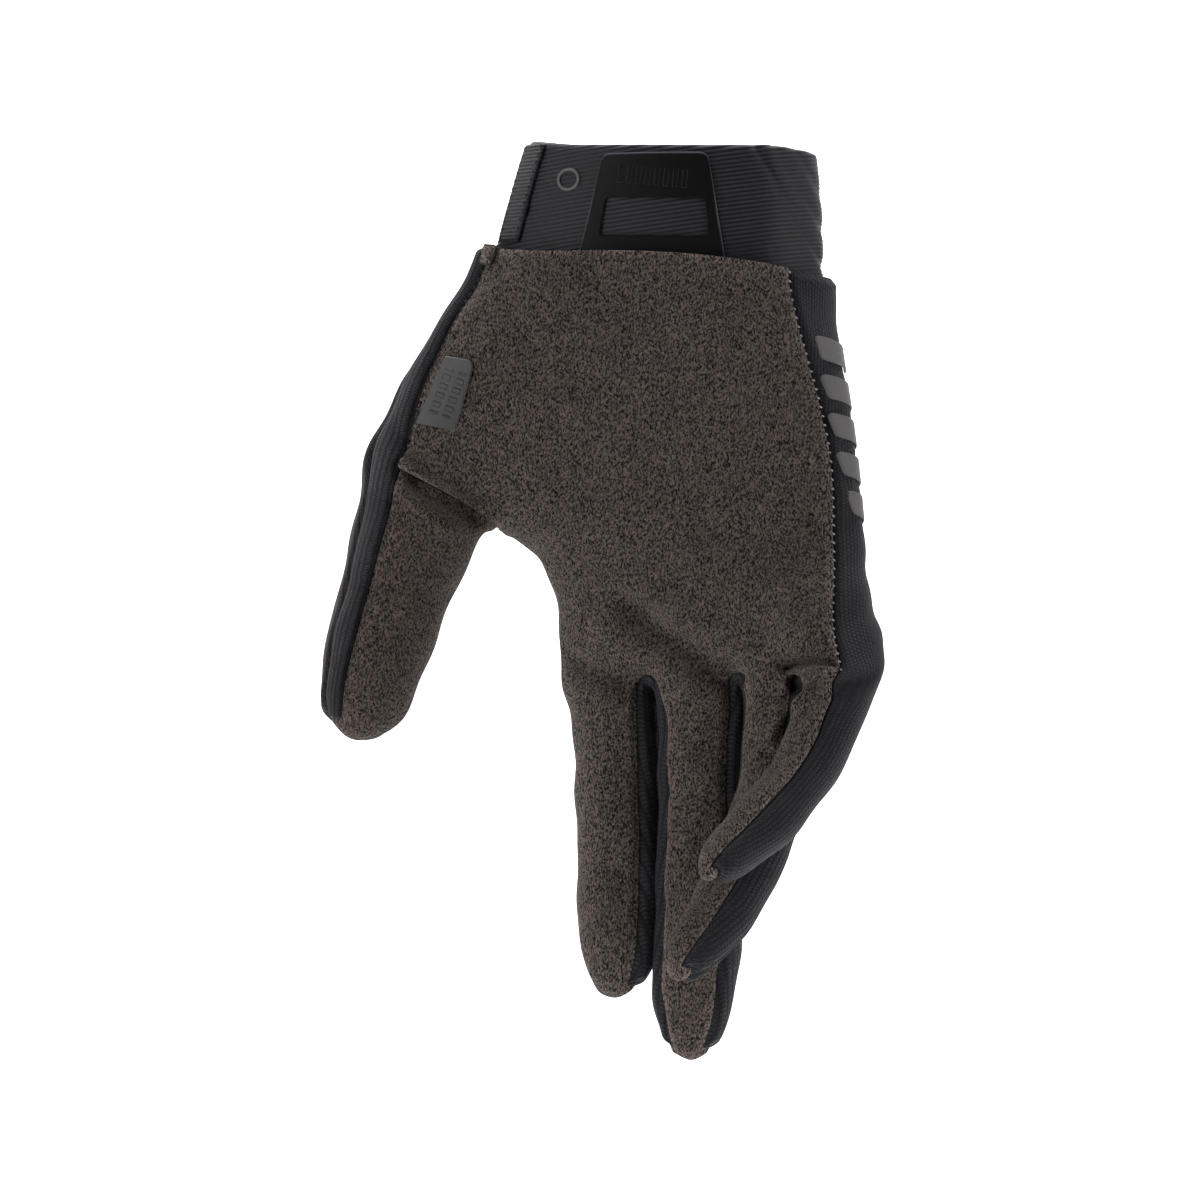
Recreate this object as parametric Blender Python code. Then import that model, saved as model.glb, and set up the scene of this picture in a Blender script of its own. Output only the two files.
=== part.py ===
"""Mountain bike glove for a right hand, in the form it has when worn.

Metres, +Z up. The fingers hang down and the palm faces -Y. X runs across the palm from the
thumb to the little finger. The origin is the middle of the wrist opening.

One smooth skin is worked out from the tables of sections. Each sewn panel is a region of that
skin, drawn in from its seams and given the thickness of its cloth. Patches are laid on top.
"""

import math
from collections import namedtuple

import bpy
import numpy as np
from mathutils import Vector
from mathutils.bvhtree import BVHTree
from mathutils.interpolate import poly_3d_calc

# Driving sizes of the hand form
CUFF_HEIGHT = 0.026
CUFF_WIDTH = 0.066
CUFF_DEPTH = 0.040
PALM_LENGTH = 0.099
HAND_BREADTH = 0.082
HAND_THICKNESS = 0.028

# Cloth thicknesses and clearances
SUEDE = 0.0011
KNIT = 0.0013
CUFF_CLOTH = 0.0014
PATCH = 0.0008
LAYER_GAP = 0.0003
SEAM_GAP = 0.0005
CUFF_INSET = SUEDE + PATCH + 2 * LAYER_GAP

# The round of a finger in the skin's corners, in degrees from its little-finger side
FRONT_ANGLES = (140, 90, 40)
THUMB_SIDE_ANGLES = (-168, 165)
CAGE_SWELL = 1.09

# Columns of the skin across the front: the thumb's, and each finger's
THUMB_COLUMNS = 2
FINGER_COLUMNS = 2
FINGER_COUNT = 4
HAND_COLUMNS = FINGER_COLUMNS * FINGER_COUNT
FINGER_EDGES = (0, 0.28, 0.585, 0.80, 1)
SIDE_SHARE = 0.010
DOWN_CURVE = 2.5

CUFF_DIP = 0.0022

SKIN_LEVELS = 1
GUIDE_LEVELS = 3

# Lengths across and in depth are shares of the breadth, lengths down of the palm's length, and
# thicknesses of the hand's thickness. web_at is where the thumb's columns end, from 0 to 1.
Section = namedtuple(
    "Section",
    "left_x left_y left_down web_down right_x right_y right_down web_at turn_left turn_right "
    "thumb_thick hand_thick web_dip seam_left seam_right fullness",
)
CUFF_SECTIONS = (
    Section(-0.492, 0.09, -0.09, -0.05, 0.548, -0.09, 0.08, 0.18, 10, 10, 1.0, 1.0, 0, 0.03, 0.14, 2.0),
    Section(-0.558, 0.10, 0.42, 0.46, 0.576, -0.10, 0.62, 0.18, 10, 10, 0.98, 0.98, 0, 0.03, 0.14, 2.1),
)
THUMB_SECTIONS = (
    Section(-0.530, 0.085, -0.02, 0.00, 0.514, -0.098, 0.08, 0.18, 10, 10, 1.34, 1.34, 0, 0.03, 0.18, 2.2),
    Section(-0.574, 0.08, 0.05, 0.06, 0.516, -0.11, 0.13, 0.19, 10, 12, 1.32, 1.30, 0, 0.035, 0.16, 2.3),
    Section(-0.660, 0.06, 0.155, 0.17, 0.512, -0.13, 0.20, 0.20, 8, 14, 1.30, 1.22, 0, 0.04, 0.12, 2.4),
    Section(-0.765, 0.04, 0.275, 0.31, 0.516, -0.16, 0.33, 0.22, 4, 18, 1.28, 1.12, 0.05, 0.06, 0.065, 2.4),
    Section(-0.826, 0.02, 0.365, 0.46, 0.526, -0.20, 0.49, 0.24, -4, 22, 1.14, 1.02, 0.20, 0.065, 0.035, 2.5),
    Section(-0.880, 0.00, 0.435, 0.615, 0.540, -0.255, 0.65, 0.26, -10, 30, 1.00, 0.95, 0.50, 0.07, 0.045, 2.5),
)
KNUCKLE_SECTIONS = (
    Section(-0.358, 0.05, 0.685, 0, 0.542, -0.32, 0.75, 0, 14, 40, 0.88, 0.88, 0, 0.03, 0.062, 2.5),
    Section(-0.318, 0.05, 0.83, 0, 0.543, -0.405, 0.87, 0, 18, 52, 0.84, 0.84, 0.05, 0.03, 0.085, 2.5),
    Section(-0.320, 0.045, 0.975, 0, 0.602, -0.530, 0.97, 0, 18, 60, 0.76, 0.76, 0.25, 0.03, 0.12, 2.4),
)
BACK_WEB_RISE = 0.006

# Lengths in metres, angles in degrees. turn is how far the pad faces towards the thumb, splay
# the tilt of the whole finger in the palm's plane, and bend its angle beyond each knuckle.
Finger = namedtuple(
    "Finger", "name length width thick turn_base turn_tip splay bend_base bend_middle bend_tip"
)
FINGERS = (
    Finger("index", 0.0745, 0.0195, 0.0172, 20, 20, 4.5, 4, 13, 18),
    Finger("middle", 0.088, 0.0190, 0.0168, 20, 14, -0.6, 2, 8, 14),
    Finger("ring", 0.078, 0.0162, 0.0164, 44, 54, 0.5, 7, 32, 47),
    Finger("little", 0.0595, 0.0148, 0.0150, 50, 66, 2, 26, 48, 56),
)
THUMB = Finger("thumb", 0.0580, 0.0238, 0.0215, -20, -22, -20, 4, 10, 14)

# One row for each ring of a finger's skin: how far along it is, and its size as shares
FingerRing = namedtuple("FingerRing", "along width thick")
FINGER_RINGS = (
    FingerRing(0.13, 1.02, 1.04),
    FingerRing(0.33, 1.00, 1.01),
    FingerRing(0.54, 0.99, 0.97),
    FingerRing(0.75, 0.98, 0.96),
    FingerRing(0.92, 0.86, 0.76),
    FingerRing(1.00, 0.44, 0.34),
)
THUMB_RINGS = (
    FingerRing(0.13, 1.20, 1.18),
    FingerRing(0.33, 1.09, 1.08),
    FingerRing(0.54, 1.01, 0.99),
    FingerRing(0.75, 0.98, 0.94),
    FingerRing(0.92, 0.85, 0.74),
    FingerRing(1.00, 0.54, 0.36),
)
# How far the front and back of a fingertip's last ring stand beyond its sides, as a share of the
# finger's width, and the power that keeps it to their middles
TIP_POINT = 0.16
TIP_SHARPNESS = 4
BEND_STOPS = (0, 0.32, 0.46, 0.66, 0.78, 1)
PATH_STEPS = 60

# The regions of the skin that make up each panel, its cloth, and how deep its outside lies
Panel = namedtuple("Panel", "node regions thickness inset material")
PANELS = (
    Panel("cuff_band", ("cuff", "palm_hem", "strip_hem", "back_hem"), CUFF_CLOTH, CUFF_INSET, "cuff"),
    Panel("palm_panel", ("palm", "palm_hem"), SUEDE, 0, "suede"),
    Panel("thumb_front", ("thumb_front",), SUEDE, 0, "suede"),
    Panel("side_strip", ("strip", "strip_hem"), KNIT, 0, "knit"),
    Panel("thumb_back", ("thumb_back",), KNIT, 0, "brown_knit"),
    Panel("back_panel", ("back", "back_hem"), KNIT, 0, "knit"),
    Panel("gusset_index_middle", ("gusset_0",), KNIT, 0, "mesh"),
    Panel("gusset_middle_ring", ("gusset_1",), KNIT, 0, "mesh"),
    Panel("gusset_ring_little", ("gusset_2",), KNIT, 0, "mesh"),
)
REGIONS = sorted({region for panel in PANELS for region in panel.regions})

# Where a patch is drawn: straight ahead of it, its across and its up, as seen by that viewer.
# Its corners run round from the top on the viewer's left, clockwise, each with its own radius.
View = namedtuple("View", "ahead across up")
FRONT = View((0, 1, 0), (1, 0, 0), (0, 0, 1))
LITTLE_SIDE = View((-1, 0, 0), (0, 1, 0), (0, 0, 1))
THUMB_SIDE = View((0.8, 0.6, 0), (0.6, -0.8, 0), (0, 0, 1))
Patch = namedtuple("Patch", "node view corners radii lift thickness material")
MARK_CENTRE, MARK_RADII, MARK_SIDES = (-0.0246, -0.0083), (0.0027, 0.0020), 16
TAB_WINDOW = ((-0.0156, -0.0131), (0.0073, -0.0138), (0.0078, -0.0222), (-0.0170, -0.0216))
TAB_LIFT = -(SUEDE + LAYER_GAP)
LABEL_TOP = -(CUFF_HEIGHT + 0.022)
PATCHES = (
    Patch(
        "pull_tab", FRONT,
        ((-0.0165, -0.0028), (0.0080, -0.0030), (0.0121, -0.0285), (-0.0221, -0.0272)),
        (0.0022, 0.0022, 0.0004, 0.0004), TAB_LIFT, PATCH, "patch",
    ),
    Patch(
        "cuff_hem", THUMB_SIDE,
        ((-0.0215, 0.0012), (-0.0170, 0.0010), (-0.0190, -0.0218), (-0.0240, -0.0215)),
        (0.0005,) * 4, -(CUFF_INSET - LAYER_GAP - PATCH), PATCH, "cuff",
    ),
    Patch(
        "grip_label", FRONT,
        (
            (-0.0497, LABEL_TOP), (-0.0440, LABEL_TOP - 0.0017),
            (-0.0472, LABEL_TOP - 0.0173), (-0.0566, LABEL_TOP - 0.0158),
        ),
        (0.0004, 0.0018, 0.0018, 0.0004), LAYER_GAP + PATCH, PATCH, "rubber",
    ),
)
PATCH_RINGS = 2
SIDE_STEPS, CORNER_STEPS = 3, 2
BAR_TOP = -(CUFF_HEIGHT + 0.018)
BAR_COUNT, BAR_PITCH, BAR_HEIGHT, BAR_SLANT = 5, 0.0088, 0.0058, 0.0030
BAR_FRONT, BAR_BACK, BAR_DRIFT = -0.0172, -0.0070, -0.0009
BAR_THICKNESS = 0.0003

# Colour, roughness and metallic value of each material
MATERIALS = {
    "suede": ((0.075, 0.060, 0.055), 0.90, 0),
    "knit": ((0.020, 0.019, 0.023), 0.85, 0),
    "brown_knit": ((0.024, 0.019, 0.019), 0.90, 0),
    "mesh": ((0.012, 0.012, 0.014), 0.85, 0),
    "cuff": ((0.014, 0.013, 0.017), 0.70, 0),
    "patch": ((0.008, 0.008, 0.010), 0.45, 0),
    "rubber": ((0.050, 0.046, 0.048), 0.60, 0),
}


def clear_scene():
    for item in list(bpy.data.objects):
        bpy.data.objects.remove(item)


def material(name):
    found = bpy.data.materials.get(name)
    if found:
        return found
    made = bpy.data.materials.new(name)
    made.use_nodes = True
    colour, roughness, metallic = MATERIALS[name]
    shader = made.node_tree.nodes["Principled BSDF"]
    shader.inputs["Base Color"].default_value = (*colour, 1)
    shader.inputs["Roughness"].default_value = roughness
    shader.inputs["Metallic"].default_value = metallic
    return made


class Cage:
    """The coarse skin: its corners, its faces, and the region that each face belongs to."""

    def __init__(self):
        self.corners, self.faces, self.regions = [], [], []

    def add(self, points):
        first = len(self.corners)
        self.corners.extend(np.asarray(p, float) for p in points)
        return list(range(first, len(self.corners)))

    def face(self, corners, region):
        self.faces.append(list(corners))
        self.regions.append(REGIONS.index(region))

    def band(self, upper, lower, regions):
        """The faces between two rings of the same count, one region for each column."""
        count = len(upper)
        for i, region in enumerate(regions):
            j = (i + 1) % count
            self.face((upper[i], lower[i], lower[j], upper[j]), region)


def turned(angle):
    """Along the breadth, for a surface turned by this many degrees towards the thumb."""
    return np.array([math.cos(math.radians(angle)), -math.sin(math.radians(angle)), 0])


def spine(section, share, breadth):
    """A point on a section's middle line and its direction: a Hermite curve between its ends."""
    left = np.array([section.left_x, section.left_y, 0]) * breadth
    right = np.array([section.right_x, section.right_y, 0]) * breadth
    chord = np.linalg.norm(right - left)
    start, end = turned(section.turn_left) * chord, turned(section.turn_right) * chord
    s, s2, s3 = share, share**2, share**3
    point = (2 * s3 - 3 * s2 + 1) * left + (s3 - 2 * s2 + s) * start
    point = point + (3 * s2 - 2 * s3) * right + (s3 - s2) * end
    along = (6 * s2 - 6 * s) * (left - right) + (3 * s2 - 4 * s + 1) * start + (3 * s2 - 2 * s) * end
    return point, along / np.linalg.norm(along)


def down_at(section, share):
    """How far down the palm the section lies at this share of its breadth."""
    if share < section.web_at:
        return section.left_down + (section.web_down - section.left_down) * share / section.web_at
    start = section.web_down if section.web_at else section.left_down
    part = (share - section.web_at) / (1 - section.web_at)
    return start + (section.right_down - start) * part**DOWN_CURVE


def column_shares(section):
    """Where each front column's line crosses the section, from its thumb side to the other."""
    thumb = np.linspace(section.seam_left, section.web_at, THUMB_COLUMNS + 1)[:-1] if section.web_at else []
    start = section.web_at or section.seam_left
    evenly = np.linspace(0, FINGER_COUNT, HAND_COLUMNS + 1)
    hand = start + (1 - section.seam_right - start) * np.interp(evenly, range(FINGER_COUNT + 1), FINGER_EDGES)
    return [*thumb, *hand]


def section_point(section, share, side, breadth, thickness, top, length):
    """A corner on the front (side 1), the back (side -1) or the middle line (side 0)."""
    point, along = spine(section, share, breadth)
    blend = min(1, share / (2 * section.web_at)) if section.web_at else 1
    thick = section.thumb_thick + (section.hand_thick - section.thumb_thick) * blend
    end_round = (1 - abs(2 * share - 1) ** section.fullness) ** (1 / section.fullness)
    towards_palm = np.array([along[1], -along[0], 0])
    down = down_at(section, share) * length
    return point + [0, 0, top - down] + towards_palm * side * thick * thickness / 2 * end_round


def section_ring(section, *sizes):
    """The corners round a section: its front, its little-finger side, its back, its thumb side."""
    front, back = [], []
    shares = column_shares(section)
    thumb_count = len(shares) - HAND_COLUMNS - 1
    for column, share in enumerate(shares):
        at_web = column == thumb_count if section.web_at else column % FINGER_COLUMNS == 0
        inside = 0 < column < len(shares) - 1
        side = 1 - section.web_dip if at_web and inside else 1
        rise = BACK_WEB_RISE if section.web_dip and not section.web_at else 0
        front.append(section_point(section, share, side, *sizes))
        back.append(section_point(section, share, -side, *sizes) + [0, 0, rise])
    far_end = section_point(section, 1, 0, *sizes)
    if section.web_at:
        near_end = [section_point(section, SIDE_SHARE, side, *sizes) for side in (-1, 1)]
    else:
        near_end = [section_point(section, 0, 0, *sizes)]
    return [*front, far_end, *reversed(back), *near_end]


def finger_path(finger, start):
    """Points along a finger's middle, with its direction and its pad's direction at each."""
    steps = np.linspace(0, 1, PATH_STEPS + 1)
    bends = (finger.bend_base,) * 2 + (finger.bend_middle,) * 2 + (finger.bend_tip,) * 2
    bend = np.radians(np.interp(steps, BEND_STOPS, bends))
    turn = np.radians(np.interp(steps, (0, 1), (finger.turn_base, finger.turn_tip)))
    splay = math.radians(finger.splay)
    down = np.array([math.sin(splay), 0, -math.cos(splay)])
    pad = np.stack([-np.sin(turn), -np.cos(turn), 0 * turn], axis=1)
    pad -= (pad @ down)[:, None] * down
    pad /= np.linalg.norm(pad, axis=1)[:, None]
    along = np.cos(bend)[:, None] * down + np.sin(bend)[:, None] * pad
    facing = np.cos(bend)[:, None] * pad - np.sin(bend)[:, None] * down
    moves = (along[1:] + along[:-1]) / 2 * finger.length / PATH_STEPS
    points = start + np.concatenate([np.zeros((1, 3)), np.cumsum(moves, axis=0)])
    return steps, points, along, facing


def finger_rings(finger, rings, start):
    """The corners round each ring of a finger or thumb."""
    steps, points, along, facing = finger_path(finger, start)
    near_side = THUMB_SIDE_ANGLES if finger is THUMB else (180,)
    angles = [*FRONT_ANGLES, 0, *(-a for a in reversed(FRONT_ANGLES)), *near_side]
    angles = np.radians(np.array(angles, float))
    for ring in rings:
        centre = np.array([np.interp(ring.along, steps, points[:, i]) for i in range(3)])
        pad = np.array([np.interp(ring.along, steps, facing[:, i]) for i in range(3)])
        axis = np.array([np.interp(ring.along, steps, along[:, i]) for i in range(3)])
        across = np.cross(pad, axis)
        half_width = finger.width / 2 * ring.width * CAGE_SWELL
        half_thick = finger.thick / 2 * ring.thick * CAGE_SWELL
        beyond = finger.width * TIP_POINT * (ring is rings[-1]) * abs(np.sin(angles)) ** TIP_SHARPNESS
        yield (
            centre
            + np.outer(np.cos(angles) * half_width, across)
            + np.outer(np.sin(angles) * half_thick, pad)
            + np.outer(beyond, axis)
        )


def add_finger(cage, finger, rings, base, regions, cap_region):
    """Rings from the base ring down to the tip, closed there by a cap."""
    start = np.mean([cage.corners[i] for i in base], axis=0)
    last = base
    for points in finger_rings(finger, rings, start):
        ring = cage.add(points)
        cage.band(last, ring, regions)
        last = ring
    f0, f1, f2, outer, b2, b1, b0, *inner = last
    for cap in ((f0, b0, b1, f1), (f1, b1, b2, f2), (f2, b2, outer), (b0, f0, *reversed(inner))):
        cage.face(cap, cap_region)


def hand_regions(thumb_columns, hem):
    """The region of each column round the hand, from its seam on the thumb side."""
    end = "_hem" if hem else ""
    back = ["back" + end] * (HAND_COLUMNS + 2)
    if thumb_columns:
        thumb_back = ["back" + end] * (thumb_columns + 2)
        return ["palm" + end] * (thumb_columns + HAND_COLUMNS) + back + thumb_back + ["strip" + end]
    return ["palm"] * HAND_COLUMNS + back + ["palm", "palm"]


def build_cage():
    cage = Cage()
    palm_top = -CUFF_HEIGHT
    rings = []
    for section in CUFF_SECTIONS:
        width, depth = CUFF_WIDTH + 2 * CUFF_INSET, CUFF_DEPTH + 2 * CUFF_INSET
        rings.append(cage.add(section_ring(section, width, depth, 0, CUFF_HEIGHT)))
    dip_columns = THUMB_COLUMNS + HAND_COLUMNS
    for column, corner in enumerate(rings[0][: dip_columns + 1]):
        cage.corners[corner][2] -= CUFF_DIP * math.sin(math.pi * column / dip_columns)
    for section in THUMB_SECTIONS:
        rings.append(cage.add(section_ring(section, HAND_BREADTH, HAND_THICKNESS, palm_top, PALM_LENGTH)))
    cuff_rows = len(CUFF_SECTIONS)
    for row, (upper, lower) in enumerate(zip(rings, rings[1:])):
        if row < cuff_rows:
            regions = ["cuff"] * len(upper)
        else:
            regions = hand_regions(THUMB_COLUMNS, hem=row == cuff_rows)
            if row > cuff_rows + 1:
                thumb_start = len(upper) - 3 - THUMB_COLUMNS
                regions[thumb_start:-1] = ["thumb_back"] * (THUMB_COLUMNS + 2)
        cage.band(upper, lower, regions)

    last = rings[-1]
    fronts = THUMB_COLUMNS + HAND_COLUMNS + 1
    front, outer_side, back, thumb_side = last[:fronts], last[fronts], last[fronts + 1 : -2], last[-2:]
    back = back[::-1]
    web_front, web_back = cage.corners[front[THUMB_COLUMNS]], cage.corners[back[THUMB_COLUMNS]]
    (web,) = cage.add([(web_front + web_back) / 2])
    thumb_base = front[: THUMB_COLUMNS + 1] + [web] + back[: THUMB_COLUMNS + 1][::-1] + thumb_side
    thumb_regions = ["thumb_front"] * 3 + ["thumb_back"] * 5 + ["strip"]
    add_finger(cage, THUMB, THUMB_RINGS, thumb_base, thumb_regions, "thumb_front")

    hand = front[THUMB_COLUMNS:] + [outer_side] + back[THUMB_COLUMNS:][::-1] + [web]
    for section in KNUCKLE_SECTIONS:
        ring = cage.add(section_ring(section, HAND_BREADTH, HAND_THICKNESS, palm_top, PALM_LENGTH))
        cage.band(hand, ring, hand_regions(0, hem=False))
        hand = ring
    front, outer_side = hand[: HAND_COLUMNS + 1], hand[HAND_COLUMNS + 1]
    back, inner_side = hand[HAND_COLUMNS + 2 : -1][::-1], hand[-1]

    sides = [inner_side]
    for gap in range(1, FINGER_COUNT):
        column = gap * FINGER_COLUMNS
        middle = (cage.corners[front[column]] + cage.corners[back[column]]) / 2
        sides += cage.add([middle])
    sides.append(outer_side)
    for number, finger in enumerate(FINGERS):
        first, end = number * FINGER_COLUMNS, (number + 1) * FINGER_COLUMNS
        base = front[first : end + 1] + [sides[number + 1]] + back[first : end + 1][::-1] + [sides[number]]
        inner = f"gusset_{number - 1}" if number else "palm"
        outer = f"gusset_{number}" if number < FINGER_COUNT - 1 else "back"
        regions = ["palm"] * 2 + [outer] * 2 + ["back"] * 2 + [inner] * 2
        add_finger(cage, finger, FINGER_RINGS, base, regions, "palm")
    return cage


def skin_of(cage, levels):
    """The smooth skin as arrays: points, outward normals, faces and the region of each face."""
    mesh = bpy.data.meshes.new("glove_cage")
    mesh.from_pydata([tuple(c) for c in cage.corners], [], cage.faces)
    mesh.attributes.new("region", "INT", "FACE").data.foreach_set("value", cage.regions)
    guide = bpy.data.objects.new(f"glove_guide_{levels}", mesh)
    guide.hide_render = True
    guide.display_type = "WIRE"
    bpy.context.scene.collection.objects.link(guide)
    smooth = guide.modifiers.new("Smooth", "SUBSURF")
    smooth.levels = smooth.render_levels = levels
    smooth.use_limit_surface = True
    evaluated = guide.evaluated_get(bpy.context.evaluated_depsgraph_get()).to_mesh()
    count = len(evaluated.vertices)
    points, normals = np.empty(count * 3), np.empty(count * 3)
    evaluated.vertices.foreach_get("co", points)
    evaluated.vertices.foreach_get("normal", normals)
    faces = np.array([tuple(p.vertices) for p in evaluated.polygons])
    regions = np.empty(len(faces), int)
    evaluated.attributes["region"].data.foreach_get("value", regions)
    return points.reshape(-1, 3), normals.reshape(-1, 3), faces, regions


def edge_moves(points, normals, faces):
    """The boundary's edges, and for each corner on it the way into the cloth, along the cloth."""
    edges = np.concatenate([faces[:, [i, (i + 1) % 4]] for i in range(4)])
    _, first, count = np.unique(np.sort(edges, axis=1), axis=0, return_index=True, return_counts=True)
    rim = edges[first[count == 1]]
    run = points[rim[:, 1]] - points[rim[:, 0]]
    inward = np.cross(normals[rim].mean(axis=1), run)
    inward /= np.linalg.norm(inward, axis=1)[:, None]
    moves = np.zeros_like(points)
    for end in (0, 1):
        np.add.at(moves, rim[:, end], inward)
    length = np.linalg.norm(moves, axis=1)
    moves[length > 0] /= length[length > 0][:, None]
    return rim, moves


def link(name, points, faces, material_name):
    mesh = bpy.data.meshes.new(name)
    mesh.from_pydata([tuple(p) for p in points], [], [tuple(int(i) for i in f) for f in faces])
    mesh.shade_smooth()
    mesh.set_sharp_from_angle(angle=math.radians(50))
    mesh.materials.append(material(material_name))
    made = bpy.data.objects.new(name, mesh)
    bpy.context.scene.collection.objects.link(made)
    return made


def add_panel(panel, skin):
    """The panel's regions of the skin, drawn in from its seams and thickened inwards."""
    points, normals, faces, regions = skin
    chosen = faces[np.isin(regions, [REGIONS.index(r) for r in panel.regions])]
    used, faces = np.unique(chosen, return_inverse=True)
    faces = faces.reshape(-1, 4)
    points, normals = points[used] - normals[used] * panel.inset, normals[used]
    rim, moves = edge_moves(points, normals, faces)
    outer = points + moves * SEAM_GAP / 2
    inner = outer - normals * panel.thickness
    count = len(outer)
    walls = np.stack([rim[:, 1], rim[:, 0], rim[:, 0] + count, rim[:, 1] + count], axis=1)
    all_faces = np.concatenate([faces, faces[:, ::-1] + count, walls])
    link(panel.node, np.concatenate([outer, inner]), all_faces, panel.material)


class Skin:
    """The smooth skin as something to lay patches on, at any depth below or above it."""

    def __init__(self, skin):
        self.points, self.normals, self.faces, _ = skin
        self.tree = BVHTree.FromPolygons(self.points.tolist(), self.faces.tolist())

    def layer(self, plane_points, view, lifts):
        """Points drawn on a plane, dropped on the skin and lifted off it by each of the lifts."""
        ahead, across, up = (np.array(v, float) for v in view)
        layers = [[] for _ in lifts]
        for right, rise in plane_points:
            start = right * across + rise * up - ahead * 0.2
            hit, _, face, _ = self.tree.ray_cast(Vector(start), Vector(ahead))
            corners = self.faces[face]
            weights = poly_3d_calc([Vector(self.points[c]) for c in corners], hit)
            normal = sum(w * self.normals[c] for w, c in zip(weights, corners))
            normal /= np.linalg.norm(normal)
            for layer, lift in zip(layers, lifts):
                layer.append(np.array(hit) + normal * lift)
        return layers


def rounded_outline(corners, radii):
    """A closed outline with rounded corners, always of the same count of points."""
    corners = [np.array(c, float) for c in corners]
    outline = []
    for i, radius in enumerate(radii):
        before, corner, after = corners[i - 1], corners[i], corners[(i + 1) % 4]
        back, forth = before - corner, after - corner
        back, forth = back / np.linalg.norm(back), forth / np.linalg.norm(forth)
        reach = radius / math.tan(math.acos(float(back @ forth)) / 2)
        start, end = corner + back * reach, corner + forth * reach
        for step in np.linspace(0, 1, CORNER_STEPS + 1):
            outline.append((1 - step) ** 2 * start + 2 * step * (1 - step) * corner + step**2 * end)
        turn = (corners[(i + 2) % 4] - after) / np.linalg.norm(corners[(i + 2) % 4] - after)
        reach = radii[(i + 1) % 4] / math.tan(math.acos(float(-forth @ turn)) / 2)
        finish = after - forth * reach
        outline += [end + (finish - end) * k / SIDE_STEPS for k in range(1, SIDE_STEPS)]
    return outline


def add_patch(patch, skin, hole=None):
    """A thin piece on the skin, inside its outline and, if it has one, outside its hole."""
    outline = rounded_outline(patch.corners, patch.radii)
    add_ringed(patch, skin, outline, hole or [np.mean(outline, axis=0)])


def add_ringed(patch, skin, outline, middle):
    """Rings of points from the outline in to the middle, which is a hole's outline or one point."""
    count, open_middle = len(outline), len(middle) > 1
    middle_points = middle if open_middle else middle * count
    plane = []
    for step in range(PATCH_RINGS + open_middle):
        part = step / PATCH_RINGS
        plane += [(1 - part) * a + part * b for a, b in zip(outline, middle_points)]
    if not open_middle:
        plane.append(middle[0])
    top, bottom = skin.layer(plane, patch.view, (patch.lift, patch.lift - patch.thickness))
    rings = PATCH_RINGS + open_middle
    faces = []
    for ring in range(rings - 1):
        for i in range(count):
            j = (i + 1) % count
            faces.append((ring * count + i, (ring + 1) * count + i, (ring + 1) * count + j, ring * count + j))
    last = (rings - 1) * count
    if not open_middle:
        faces += [(last + i, last + count, last + (i + 1) % count) for i in range(count)]
    below = len(top)
    walls = [(i, (i + 1) % count, (i + 1) % count + below, i + below) for i in range(count)]
    if open_middle:
        walls += [
            (last + (i + 1) % count, last + i, last + i + below, last + (i + 1) % count + below)
            for i in range(count)
        ]
    faces += [tuple(i + below for i in reversed(face)) for face in faces] + walls
    link(patch.node, top + bottom, faces, patch.material)


def add_ring_mark(skin):
    angles = -np.arange(MARK_SIDES) * 2 * math.pi / MARK_SIDES
    loops = [
        [np.array(MARK_CENTRE) + radius * np.array([math.cos(a), math.sin(a)]) for a in angles]
        for radius in MARK_RADII
    ]
    lift = -(CUFF_INSET - LAYER_GAP - BAR_THICKNESS)
    patch = Patch("ring_mark", FRONT, None, None, lift, BAR_THICKNESS, "rubber")
    add_ringed(patch, skin, *loops)


def add_side_bars(skin):
    for number in range(BAR_COUNT):
        top, drift = BAR_TOP - number * BAR_PITCH, number * BAR_DRIFT
        corners = (
            (BAR_FRONT + drift, top),
            (BAR_BACK + drift, top - BAR_SLANT),
            (BAR_BACK + drift, top - BAR_SLANT - BAR_HEIGHT),
            (BAR_FRONT + drift, top - BAR_HEIGHT),
        )
        lift = LAYER_GAP + BAR_THICKNESS
        patch = Patch(f"side_bar_{number + 1}", LITTLE_SIDE, corners, (0.0012,) * 4, lift, BAR_THICKNESS, "rubber")
        add_patch(patch, skin)


def build():
    clear_scene()
    cage = build_cage()
    skin = skin_of(cage, SKIN_LEVELS)
    for panel in PANELS:
        add_panel(panel, skin)
    guide = Skin(skin_of(cage, GUIDE_LEVELS))
    for patch in PATCHES:
        hole = rounded_outline(TAB_WINDOW, (0.0006,) * 4) if patch.node == "pull_tab" else None
        add_patch(patch, guide, hole)
    add_ring_mark(guide)
    add_side_bars(guide)


build()
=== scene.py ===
"""Looks of a right-hand mountain bike glove in the form it has when worn.

Metres, +Z up, fingers down, palm towards -Y. The sewn cloths are cut from one smooth form, and
every section below makes one of them with its own cloth, then what is sewn or printed on it.
"""
import math
from collections import namedtuple

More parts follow.
